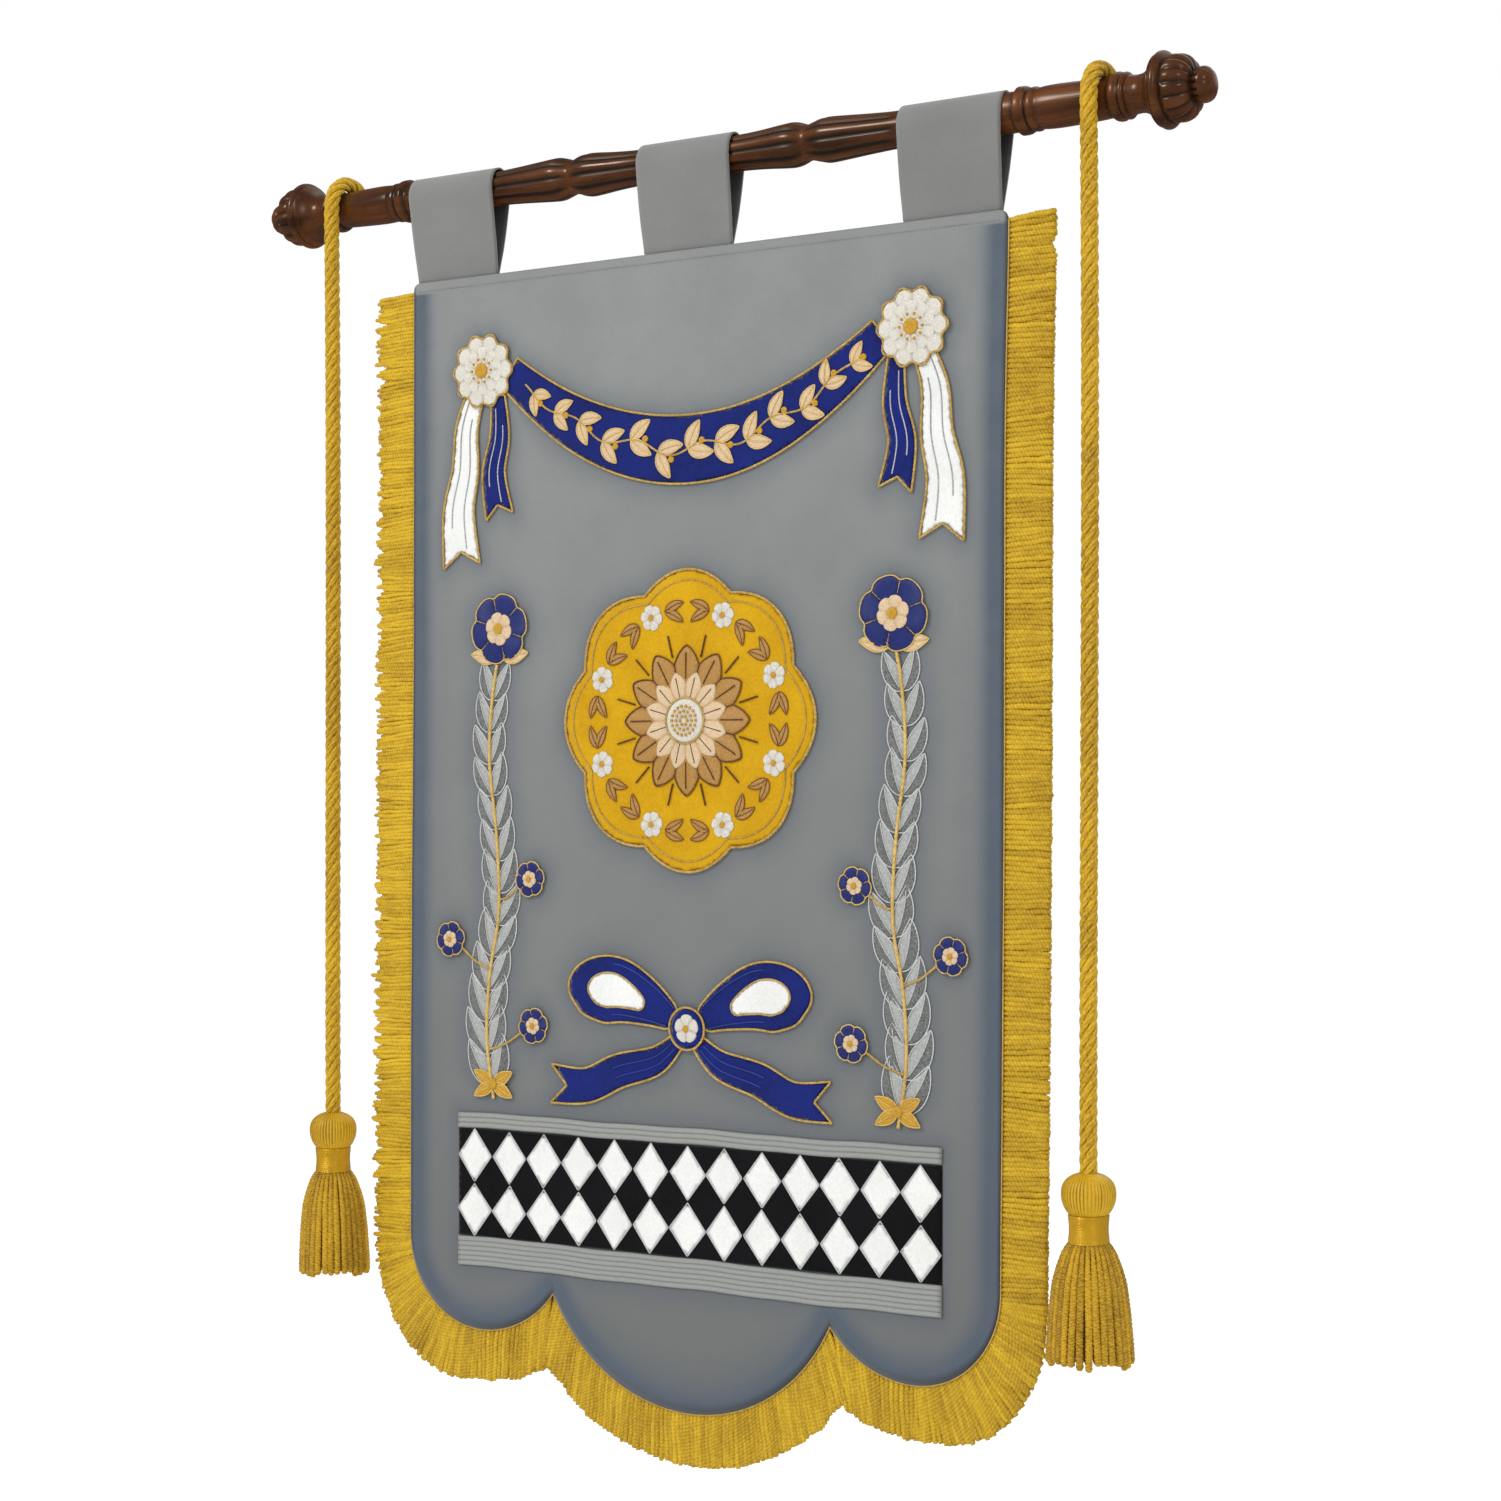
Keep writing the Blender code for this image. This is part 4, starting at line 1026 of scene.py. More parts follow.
def make_cords():
    """The two ropes with their whippings and tassels."""
    for side, seed in (("left", 5), ("right", 6)):
        line = cord_line(side)
        rope, whipping = make_rope(side, line), make_whipping(side, line)
        top = line[-1] + (0.0, 0.0, INTO_HEAD - CAD_GAP)
        random = np.random.default_rng(seed)
        tassel = [make_ball(side, top, random), make_neck(side, top),
                  make_skirt(side, top, random)]


# ----------------------------------------------------------------- crossbar
BAR_SIDES = 72
BAR_STEP = 0.0034
FINIAL_SIDES = 112
FINIAL_STEP = 0.0008
REEDS = 9
REED_DEPTH = 0.0030
REED_TURN = math.radians(-8.0)
REED_FADE = 0.0100
# (start, end) of each reeded length, from the middle of the bar outwards
REED_SPANS = ((0.0, 0.1262), (0.1278, 0.2215))
SWELL_RADIUS = 0.0195         # the bar's radius where its reeds are cut to full depth
PLAIN_START = 0.30            # beyond this only the turned corners are darkened
GADROONS = 14
GADROON_DEPTH = 0.0036
BUTTON_LOBES = 7
BUTTON_DEPTH = 0.0006


def turned_profile(profile, step):
    """Distances that keep every corner of a profile, and the smooth radius at each."""
    marks = [profile[0][0]]
    for (start, _), (end, _) in zip(profile, profile[1:]):
        count = max(2, math.ceil((end - start) / step))
        marks += list(np.linspace(start, end, count + 1)[1:])
    rounded = smooth_line(profile, 6)
    return np.array(marks), np.interp(marks, rounded[:, 0], rounded[:, 1])


def bends(distance, radius):
    """How sharply a profile bends inwards at each of its points."""
    return np.gradient(np.gradient(radius, distance), distance)[:, None]


def rounded_ribs(wave, share):
    """How far a rib's round top has fallen away, from 0 on its crest to 1 in a cut."""
    return 1.0 - np.sqrt(np.maximum(0.0, 1.0 - (share * wave) ** 2))


def make_bar():
    """Turned bar with reeded swellings, rings and collars."""
    distance, radius = turned_profile(BAR_PROFILE, BAR_STEP)
    wave = zigzag(REEDS * (around(BAR_SIDES) - REED_TURN) / TAU)
    cut = np.zeros(len(distance))
    for start, end in REED_SPANS:
        from_end = np.minimum(np.abs(distance - start) if start > 0 else 1.0, end - distance)
        fade = np.sqrt(np.clip(from_end / REED_FADE, 0.0, 1.0)) * (distance < end)
        cut = np.maximum(cut, np.where(distance >= start, fade, 0.0))
    depth = REED_DEPTH * cut * np.clip(radius / SWELL_RADIUS, 0.7, 1.05)
    radii = radius[:, None] - depth[:, None] * rounded_ribs(wave, 0.985)
    # darker in the reeds' cuts and in the turned corners' hollows: polish left there, with painted
    # shade
    tone = cut[:, None] * smoothstep(0.30, 0.96, wave) * 0.95
    corners = np.clip(bends(distance, radius) * 0.0016, 0.0, 0.75)
    tone = np.maximum(tone, corners * (distance > PLAIN_START)[:, None])
    left, right = (sign * distance + np.where(distance > OUTER_START, OUTER_SHIFT[sign], 0.0)
                   for sign in (-1, 1))
    build = Build()
    lathe(build, np.concatenate([left[::-1], right[1:]]), np.vstack([radii[::-1], radii[1:]]),
          (0.0, 0.0, 0.0), np.eye(3), np.vstack([tone[::-1], tone[1:]]))
    build.make("turned_bar", "wood", "crossbar")


def make_finials():
    """Flanged end pieces with gadrooned domes and buttons."""
    distance, radius = turned_profile(FINIAL_PROFILE, FINIAL_STEP)
    angle = around(FINIAL_SIDES)
    ribs = rounded_ribs(zigzag(GADROONS * angle / TAU), 0.98)
    dome = smoothstep(0.0357, 0.0395, distance) * (1.0 - smoothstep(0.0612, 0.0632, distance))
    button = smoothstep(0.0640, 0.0668, distance) * (1.0 - smoothstep(0.0700, 0.0742, distance))
    dome, button = dome[:, None], button[:, None]
    radii = (radius[:, None] - GADROON_DEPTH * dome * ribs
             - BUTTON_DEPTH * button * zigzag(BUTTON_LOBES * angle / TAU) ** 3)
    # darker in the gadroons' cuts and the profile's hollows: polish left there, with painted shade
    tone = np.maximum(np.clip(dome * ribs**1.4 * 1.15, 0.0, 0.95),
                      np.clip(bends(distance, radius) * 0.0006, 0.0, 0.8))
    for side, sign in (("left", -1), ("right", 1)):
        foot = sign * BAR_HALF + OUTER_SHIFT[sign] + sign * CAD_GAP
        build = Build()
        lathe(build, distance, radii, (foot, 0.0, 0.0), np.diag([sign, sign, 1]), tone)
        build.make("turned_finial_" + side, "wood", "finial_" + side)


# -------------------------------------------------------------------- cloth
HEM_RAISED = 0.0004
HEM_FOOT = (0.0080, 0.0094)   # how far below the panel's top the hem ends
HEM_STITCH_Z = PANEL_TOP - 0.0084
STITCH_PITCH = 0.0034
STITCH_LENGTH = 0.0025
GLOW_REACH = 0.015
TAB_SEAM_Z = PANEL_TOP + 0.003
SEAM_GAP = 0.0006             # between the tab's two ends and the panel


def edge_outline(offset=0.0, step=0.0022):
    """The panel's side and lower edges as one (x, z) line, from top left to top right."""
    down = np.arange(FRINGE_TOP, CORNER_Z, -step)
    left = joined(np.full(len(down), -PANEL_HALF), down)
    inner_z = SIDE_LOW + INNER_RADIUS
    angle = np.linspace(math.pi / 2, -math.acos((inner_z - CUSP_Z) / INNER_RADIUS), 90)
    radius = np.where(angle >= 0, OUTER_RADIUS, INNER_RADIUS)
    centre = np.where(angle >= 0, CORNER_Z, inner_z)
    right = swung(SIDE_X, centre, radius, angle)
    cusp = math.asin(CUSP_X / MIDDLE_RADIUS)
    arc = np.linspace(-cusp, cusp, 150)[1:-1]
    middle = swung(0.0, MIDDLE_Z, MIDDLE_RADIUS, arc)
    line = np.vstack([left, right * (-1, 1), middle, right[::-1], left[::-1] * (-1, 1)])
    along = unit(np.gradient(line, axis=0))
    return line - offset * quarter_turn(along)


def motif_glow(points, outlines, reach):
    """How strongly the airbrushed glow round the motifs colours each point."""
    glow = np.zeros(len(points))
    for outline in outlines:
        low, high = outline.min(0) - 3 * reach, outline.max(0) + 3 * reach
        near = np.flatnonzero(((points > low) & (points < high)).all(1))
        if len(near):
            gap = border_distance(points[near], outline)
            gap[inside(points[near], outline)] = 0.0
            glow[near] = np.maximum(glow[near], np.exp(-((gap / reach) ** 2)))
    return glow


def airbrush(flat, gap, outlines):
    """How blue each point is: by its gap to the edge, near the foot and round the motifs."""
    z = flat[:, 1]
    band = 0.92 * (1.0 - smoothstep(0.006, 0.030, gap))
    band += 0.30 * (1.0 - smoothstep(0.0, 0.060, gap))
    band *= smoothstep(0.0095, 0.0115, PANEL_TOP - z)
    foot = 0.50 * smoothstep(-0.99, -1.08, z) * (1.0 - smoothstep(0.010, 0.06, gap))
    glow = 0.40 * motif_glow(flat, outlines, GLOW_REACH)
    return np.clip(np.maximum(np.maximum(band, foot), glow), 0.0, 1.0)


def make_field(outlines):
    """The grey panel with its top hem, its airbrushed front and its darker reverse."""
    middle = np.linspace(0.0, CUSP_X, 31)
    inner = np.linspace(CUSP_X, SIDE_X, 17)[1:]
    corner = SIDE_X + OUTER_RADIUS * np.sin(np.linspace(0.0, math.pi / 2, 21)[1:])
    right = np.concatenate([middle, inner, corner])
    xs = np.concatenate([-right[:0:-1], right])
    share = np.concatenate([np.linspace(0.0, 0.0125, 7), np.linspace(0.0125, 1.0, 108)[1:]])
    x = np.repeat(xs[None], len(share), axis=0)
    z = panel_top(x) + (panel_bottom(x) - panel_top(x)) * share[:, None]
    hem = HEM_RAISED * (1.0 - smoothstep(*HEM_FOOT, PANEL_TOP - z))
    flat = joined(x, z)
    points = flat.reshape(-1, 2)
    above = [[PANEL_HALF, 0.5], [-PANEL_HALF, 0.5]]
    gap = border_distance(points, np.vstack([edge_outline(step=0.006), above]))
    tone = airbrush(points, gap, outlines).reshape(x.shape)
    rim = 0.75 * (1.0 - smoothstep(0.0008, 0.0034, gap))
    build = Build()
    slab(build, on_spread(x, z, hem - PANEL_THICK / 2), PANEL_THICK, flat * 1000.0, tone,
         slots=(0, 1))
    rims = np.concatenate([rim, rim, rim_loop(rim.reshape(x.shape))])
    field = build.make("field", "field", "panel", reverse="reverse", more={"rim": rims})
    tall = panel_top(xs) - panel_bottom(xs)
    return field, float((np.diff(xs) * (tall[1:] + tall[:-1]) / 2).sum())


def make_topstitch():
    """One row of machine stitches along the top hem."""
    starts = np.arange(-PANEL_HALF + 0.006, PANEL_HALF - 0.008, STITCH_PITCH)
    x = starts[:, None] + np.linspace(0.0, STITCH_LENGTH, 5)
    z = np.full_like(x, HEM_STITCH_Z)
    rise = 0.00045 * np.sin(math.pi * np.linspace(0.05, 0.95, 5))
    size = 0.00034 * np.sin(math.pi * np.linspace(0.15, 0.85, 5)) ** 0.5
    build = Build()
    tubes(build, on_spread(x, z, 0.00025 + rise), size, 5, FRONT, tone=0.6)
    return build.make("hem_stitches", "thread")


def touch_angle(y, z, radius, way):
    """Where a line from (y, z) touches a circle about the origin, on one side or the other."""
    return math.atan2(z, y) + way * math.acos(radius / math.hypot(y, z))


def tab_section():
    """(y, z) along a tab, from its front end over the bar to its back end."""
    middle = TAB_RADIUS + TAB_THICK / 2
    front_y = TOP_Y + PANEL_THICK + SEAM_GAP + TAB_THICK / 2
    back_y = front_y + TAB_THICK + SEAM_GAP
    first = touch_angle(front_y, TAB_SEAM_Z, middle, -1)
    last = touch_angle(back_y, TAB_SEAM_Z, middle, 1) - TAU
    angle = np.linspace(first, last, 44)
    arc = middle * ray(angle)
    run = np.linspace(0.0, 1.0, 26)[1:-1, None]
    low = PANEL_TOP - TAIL_LENGTH
    front, back = np.array([front_y, TAB_SEAM_Z]), np.array([back_y, TAB_SEAM_Z])
    return np.vstack([[(front_y, low), front], front + (arc[0] - front) * run, arc,
                      arc[-1] + (back - arc[-1]) * run, [back, (back_y, low)]])


def make_tab(side):
    """A loop of the same cloth, its reverse inwards, with its two ends behind the panel."""
    section = tab_section()
    y, z = section[:, :1], section[:, 1:]
    share = np.clip((z - PANEL_TOP) / -PANEL_TOP, 0.0, 1.0)
    behind = np.clip(0.5 + 0.5 * y / TAB_RADIUS, 0.0, 1.0)
    half = TAB_HALF_TOP + (TAB_HALF_BACK - TAB_HALF_TOP) * behind
    half = TAB_HALF_SEAM + (half - TAB_HALF_SEAM) * share
    half = half + ((TAB_HALF_TAIL - TAB_HALF_SEAM)
                   * np.maximum(0.0, (PANEL_TOP - z) / TAIL_LENGTH))
    crept = TAB_FRONT[side] + (TAB_BACK[side] - TAB_FRONT[side]) * behind
    across = np.linspace(-1.0, 1.0, 25)[None]
    x = TAB_X[side] + TAB_FOOT[side] * (1.0 - share) + crept * share + half * across
    free = np.clip((z - TAB_SEAM_Z) / 0.02, 0.0, 1.0) * np.clip((0.002 - z) / 0.02, 0.0, 1.0)
    belly = 0.0011 * np.sin(2.2 * across + 27.0 * TAB_X[side]) * free
    belly = belly + 0.0005 * np.sin(70.0 * z + 5.0 * across) * free
    y = y + belly * np.where(y < 0.0, 1.0, 0.6)
    along = run_along(section)
    uv = joined(x, along[:, None]) * 1000.0
    build = Build()
    slab(build, joined(x, y, z), TAB_THICK, uv, slots=(1, 0))
    piece = build.make("loop_" + side, "tab", "tab_" + side, reverse="reverse")
    return piece, 2 * TAB_HALF_TOP, float(along[-1])


# ------------------------------------------------------------------- fringe
# pitch of the yarns at their tips, the size of their clumps, how far these draw together, how
# deep the gaps between them cut, how unequal the yarns are, and a tone for the whole side,
# higher on the left as painted light
FRINGES = {
    "left": (0.0036, (0.009, 0.020), (0.08, 0.30), 0.080, 0.036, 0.20),
    "right": (0.0042, (0.030, 0.070), (0.00, 0.04), 0.008, 0.006, 0.06),
    "bottom": (0.0043, (0.020, 0.060), (0.00, 0.07), 0.020, 0.016, 0.06),
}
CUSP_OVERLAP = 0.0030         # how far the strands on both sides of a cusp cross at their tips
CLOSING_DROOP = 0.0110        # the last side strands hang into the corner
LAYER_SAMPLES = (20, 8)
LAYER_SIDES = (6, 4)
LAYER_SHORTER = 0.012         # the share by which the second layer is shorter
LAYER_DEPTH = 0.0012          # how far the second layer lies behind the first
BEHIND_PANEL = 0.0021
LEFT_SAG = 0.0025             # the left side's yarns hang this much lower at their tips
YARN_SIZE = 0.62              # of their pitch
YARN_LEAD = 0.0130
# length and height of the slow waves in which neighbouring yarns drift
DRIFTS = ((0.105, 0.0026, 1.0), (0.041, 0.0011, 0.0), (0.017, 0.0005, 0.0))
PIPING_STEP = 0.0014
TAPE_STEP = 0.006
TAPE_REACH = (-0.0040, 0.0050)


def side_roots(sign, z):
    """Where side strands leave the panel, and where their tips would hang."""
    slope = np.arcsin(np.clip((CORNER_Z - z) / OUTER_RADIUS, 0.0, 1.0))
    edge = np.where(z < CORNER_Z, SIDE_X + OUTER_RADIUS * np.cos(slope), PANEL_HALF)
    full = math.asin((CORNER_Z - FRINGE_SPLIT) / OUTER_RADIUS)
    depth = RIGHT_DEPTH if sign > 0 else FRINGE_DEPTH
    root = joined(sign * (edge - FRINGE_LAP), z)
    share = slope / full
    droop = SIDE_DROOP * share + CLOSING_DROOP * smoothstep(0.2, 1.0, share)
    return root, joined(sign * (edge + depth), z - droop)


def side_strands(sign, pitch, layer):
    """Evenly spaced roots and tips down one side, with its own unruly strands."""
    close = np.arange(FRINGE_TOP, FRINGE_SPLIT, -0.0002)
    along = run_along(side_roots(sign, close)[1])
    marks = np.arange(pitch * (0.5 + 0.5 * layer), along[-1], pitch)
    root, tip = side_roots(sign, np.interp(marks, along, close))
    if sign < 0:
        return root, tip - np.array([0.0, LEFT_SAG])
    lead = np.exp(-np.arange(len(tip)) / 1.6)[:, None]
    tip = tip + lead * np.array([-0.0005, 0.0048])
    tip[4:8, 0] -= 0.004 * np.array([0.4, 1.0, 0.8, 0.3])
    return root, tip


def bottom_roots(pitch):
    """Roots and tips of the strands along the three scallops, from the middle to the right."""
    cusp = math.asin(CUSP_X / MIDDLE_RADIUS)
    tip = math.asin((MIDDLE_TIP_X + CUSP_OVERLAP) / (MIDDLE_RADIUS + FRINGE_DEPTH))
    inner = math.asin((SIDE_X - CUSP_X) / INNER_RADIUS)
    inner_tip = math.asin((SIDE_X - MIDDLE_TIP_X + CUSP_OVERLAP) / (INNER_RADIUS + FRINGE_DEPTH))
    split = math.acos((CORNER_Z - FRINGE_SPLIT) / OUTER_RADIUS) - SLIT_ANGLE
    roots, tips = [], []
    for x, z, radius, first, last, tip_first, tip_last, droop in (
            (0.0, MIDDLE_Z, MIDDLE_RADIUS, 0.0, cusp, 0.0, tip, 0.0),
            (SIDE_X, SIDE_LOW + INNER_RADIUS, INNER_RADIUS, -inner, 0.0, -inner_tip, 0.0, 0.0),
            (SIDE_X, CORNER_Z, OUTER_RADIUS, 0.0, split, 0.0, split, CORNER_DROOP)):
        count = round((tip_last - tip_first) * (radius + FRINGE_DEPTH) / pitch)
        share = (np.arange(count) + 0.5) / count
        for made, reach, start, end in ((roots, -FRINGE_LAP, first, last),
                                        (tips, FRINGE_DEPTH, tip_first, tip_last)):
            angle = start + (end - start) * share
            made.append(swung(x, z, radius + reach, angle))
        hang = droop * np.sin(2.0 * np.minimum(angle, math.pi / 4))
        tips[-1][:, 1] -= hang * (1.0 - 0.75 * smoothstep(split - 0.5, split, angle))
    return np.vstack(roots), np.vstack(tips)


def bottom_strands(pitch, layer):
    """Roots and tips along the whole lower edge; the second layer fills the first one's gaps."""
    both = [np.vstack([ends[::-1] * (-1, 1), ends]) for ends in bottom_roots(pitch)]
    return [(ends[1:] + ends[:-1]) / 2 for ends in both] if layer else both


def clumps(count, pitch, random, sizes, pull):
    """For each strand, how far its tip is drawn to its clump, and how near it is to a gap."""
    draw, near = np.zeros(count), np.zeros(count)
    start = 0
    while start < count:
        size = max(3, int(random.uniform(*sizes) / pitch))
        end = min(count, start + size)
        place = (np.arange(start, end) - (start + end - 1) / 2) * pitch
        draw[start:end] = -random.uniform(*pull) * place
        near[start:end] = np.abs(place) / max(1e-6, np.abs(place).max())
        start = end
    return draw, near


def fringe_strands(build, roots, tips, kind, random, layer):
    """One layer of twisted yarns that hang or stand out from an edge."""
    pitch, sizes, pull, ragged, unequal, tint = kind
    count = len(roots)
    t = np.linspace(0.0, 1.0, LAYER_SAMPLES[layer])
    fall = t[:, None]
    reach = tips - roots
    out = unit(reach)
    way = quarter_turn(out)[:, None]
    step = unit(np.gradient(roots, axis=0))[:, None]
    draw, near = clumps(count, pitch, random, sizes, pull)
    place = pitch * np.arange(count)
    wander = sum(high * np.sin(TAU * place / length + phase) for length, high, phase in DRIFTS)
    wander = wander * smoothstep(0.0, 0.05, place) * smoothstep(0.0, 0.05, place[-1] - place)
    wander = wander + random.normal(0, 0.00022, count)
    long = 1.0 + random.normal(0, unequal, count) - ragged * near**3 - LAYER_SHORTER * layer
    bend = draw[:, None, None] * fall**3.5 * step + wander[:, None, None] * fall * step
    ripple = 0.00055 * np.sin(TAU * (fall * random.uniform(0.8, 2.4, (count, 1, 1))
                                     + random.uniform(0, 1, (count, 1, 1)))) * fall
    flat = (roots[:, None] + reach[:, None] * (fall * long[:, None, None]) + bend
            + ripple * way)
    sag = 0.0007 * np.sin(TAU * random.uniform(0, 1, (count, 1))) * t**2
    y = (hang_y(roots[:, :1], roots[:, 1:]) + PANEL_THICK + BEHIND_PANEL + LAYER_DEPTH * layer
         + sag - 0.0010 * (1.0 - layer) * np.sin(math.pi * np.minimum(1.0, t * 1.4)))
    lines = joined(spread(flat[..., 0], flat[..., 1]), y, flat[..., 1])
    size = pitch * YARN_SIZE * (0.80 + 0.20 * smoothstep(0.08, 0.30, t))
    size = size * random.uniform(0.94, 1.08, (count, 1))
    size[:, -1] *= 0.7
    # random tones with painted shade near the roots, plus the side's tone, which paints the left
    # side lighter as painted light
    tone = (random.uniform(0.42, 0.74, (count, 1)) - 0.12 * (1 - smoothstep(0.06, 0.16, t))
            + 0.05 * np.sin(9.0 * t + random.uniform(0, 6, (count, 1))) + tint)
    tubes(build, lines, size, LAYER_SIDES[layer], FRONT, lobes=2, depth=0.08, pitch=-YARN_LEAD,
          phase=random.uniform(0, 6, count), tone=tone, valley_shade=0.03)


def make_fringe(side, random):
    """One edge's two layers of yarns."""
    build = Build()
    kind = FRINGES[side]
    for layer in (0, 1):
        if side == "bottom":
            root, tip = bottom_strands(kind[0], layer)
        else:
            root, tip = side_strands(-1 if side == "left" else 1, kind[0], layer)
        fringe_strands(build, root, tip, kind, random, layer)
    return build.make("yarn_" + side, "fringe", "fringe_" + side)


def make_piping():
    """The thin cord along the panel's edge."""
    line = spaced(edge_outline(0.0007), PIPING_STEP)
    build = Build()
    tubes(build, on_spread(*line.T, -0.0010), 0.00075, 6, FRONT, lobes=2, depth=0.25,
          pitch=4 * PIPING_STEP, tone=0.85)
    return build.make("edge_piping", "piping")


def make_tape():
    """The woven tape behind the strands' roots."""
    inner, outer = (edge_outline(offset, TAPE_STEP) for offset in TAPE_REACH)
    share = np.array([0.0, 0.5, 1.0])[:, None]
    flat = inner[:, None] + (outer - inner)[:, None] * share
    grid = on_spread(flat[..., 0], flat[..., 1], -PANEL_THICK - 0.0046)
    along = np.arange(len(inner))[:, None] * TAPE_STEP * 1000.0
    build = Build()
    slab(build, grid, 0.0008, joined([0.0, 4.5, 9.0], along))
    return build.make("fringe_tape", "fringe")


# ------------------------------------------------------------ sewn-on pieces
LAYER = 0.0018                # one sewn-on cloth with the air under it
CLOTH_BASE = 0.0003
SWAG_LEAVES = 13
STEM_SWING = 0.0055
STEM_WAVES = 6.0
# (point, share) of a tail's middle line that add up to the foot of its notch
TAIL_NOTCH = ((-2, 1.1), (-1, -0.7), (-4, 0.6))
ROSETTE_PETALS = 10
# (size, share of a petal that it is turned) of each layer of a rosette, from below
ROSETTE_LAYERS = ((0.96, 0.0), (0.66, 0.5), (0.42, 0.0))
FLOWER_PETALS = 12
WREATH_RADIUS = 0.1010
WREATH_FLOWERS = 8
# (radius, count) of each ring of knots on the boss
KNOT_RINGS = ((0.0040, 6), (0.0085, 12), (0.0130, 18))
BOW_EYE = (0.0860, -0.7500)   # the point of a loop that its white reverse shrinks towards
BOW_EYE_SIZE = 0.52
BOW_KNOT_DROP = 0.0060
BRANCH = ((0.2180, -0.8560), (0.2260, -0.8000), (0.2230, -0.7400), (0.2130, -0.6800),
          (0.2160, -0.6100), (0.2250, -0.5400), (0.2220, -0.4800), (0.2140, -0.4360))
BRANCH_LEAVES = 13
BRANCH_LEAF = (0.0520, 0.0215)
CROWN_RADIUS = 0.0330
CROWN_RISE = 0.0200           # from the branch's end to the middle of its flower
# (x, z) of the small blossoms beside a branch
BUDS = ((0.1760, -0.6500), (0.2690, -0.7080), (0.1720, -0.7860))
BUD_RADIUS = 0.0165
LOZENGES = 13
LOZENGE_ROWS = 2
LOZENGE_SIZE = 0.485          # half its diagonals, as a share of the room it has
RIB_PITCH = 0.0045


class Sewing:
    """What is sewn to the panel: its pieces, and the outlines that the airbrush goes round."""

    def __init__(self):
        self.pieces, self.outlines = [], []

    def cloth(self, name, paint, node, outline, base=CLOTH_BASE, edging=None, radius=0.0011):
        build = Build()
        patch(build, outline, base, LAYER - CLOTH_BASE)
        self.pieces.append(build.make(name, paint, node))
        self.outlines.append(outline)
        if edging:
            cord_round(edging, outline, base + LAYER - 0.0005, radius)

    def trimmings(self, name, layers):
        for paint, build in layers.items():
            self.pieces.append(build.make(name + "_" + paint, paint))


def layers(*paints):
    """A mesh builder for each paint."""
    return {paint: Build() for paint in paints}


def swag_path():
    path = []
    for share in np.linspace(-1.0, 1.0, 49):
        width = SWAG_END_WIDTH + (SWAG_WIDTH - SWAG_END_WIDTH) * math.cos(share * math.pi / 2)
        path.append((SWAG_X * share, SWAG_HIGH - SWAG_DIP * (1 - share * share), width))
    return path


def swag_leaves(trim, line):
    """A stem that winds along the swag, with pairs of leaves and gold berries."""
    centre = spaced(line[:, :2], 0.002)
    share = np.linspace(0.0, 1.0, len(centre))
    fade = np.sin(math.pi * np.clip(share, 0.03, 0.97)) ** 0.5
    swing = STEM_SWING * np.sin(TAU * STEM_WAVES * share) * fade
    stem = centre + quarter_turn(unit(np.gradient(centre, axis=0))) * swing[:, None]
    stem = stem[12:-12]
    cord_round(trim["edge_cord"], stem, LAYER + 0.0005, 0.0010, closed=False)
    for index in range(SWAG_LEAVES):
        spot = int((index + 0.5) / SWAG_LEAVES * len(stem))
        heading = math.atan2(*(stem[spot + 1] - stem[spot - 1])[::-1])
        size = 0.72 + 0.28 * math.sin(math.pi * (index + 0.5) / SWAG_LEAVES)
        for turn in (0.90, -0.80):
            satin_leaf(trim["cream"], trim["edge_cord"], *stem[spot], heading + turn,
                       0.0280 * size, 0.0130 * size, -0.4 * math.copysign(1, turn),
                       LAYER + 0.0002)
        dot(trim["gold"], *(stem[spot] + 0.016 * size * ray(heading)), 0.0032, LAYER + 0.0002)


def swag_tails(sewing, trim, side, sign):
    """A notched white tail and a blue one, each with two stitched folds."""
    for label, path, paint in (("outer", OUTER_TAIL, "white"), ("inner", INNER_TAIL, "blue")):
        one, other, _, line = ribbon(path, sign)
        notch = sum(share * line[index, :2] for index, share in TAIL_NOTCH)
        name = "tail_{}_{}".format(label, side)
        sewing.cloth(name, paint, "swag_" + name, np.vstack([one, [notch], other[::-1]]),
                     edging=trim["edge_cord"])
        for share, cut in ((0.30, slice(3, -6)), (0.68, slice(6, -3))):
            fold = (one + (other - one) * share)[cut]
            cord_round(trim["silver"], fold, LAYER + 0.0003, 0.00055, closed=False,
                       tone=0.5 if paint == "white" else 0.8)


def rosette(sewing, trim, side, sign):
    """A round of ivory petals in three layers with gold knots."""
    x, z = sign * ROSETTE_X, ROSETTE_Z
    edge = ROSETTE_RADIUS * (0.93 + 0.07 * np.cos(ROSETTE_PETALS * around(160)))
    sewing.cloth("rosette_cloth_" + side, "ivory", "rosette_" + side, polar(x, z, edge),
                 base=LAYER + 0.0002, edging=trim["edge_cord"])
    petals = layers("ivory")
    top = 2 * LAYER - 0.0004
    for size, turn in ROSETTE_LAYERS:
        blossom(petals["ivory"], x, z, ROSETTE_RADIUS * size, ROSETTE_PETALS, top,
                TAU * turn / ROSETTE_PETALS, 0.0012, 0.12)
        top += 0.0008
    sewing.trimmings("rosette_petals_" + side, petals)
    dot(trim["gold"], x, z, 0.0075, top, 0.0026)
    for angle in around(ROSETTE_PETALS):
        dot(trim["gold"], *((x, z) + 0.0112 * ray(angle)), 0.0015, top)


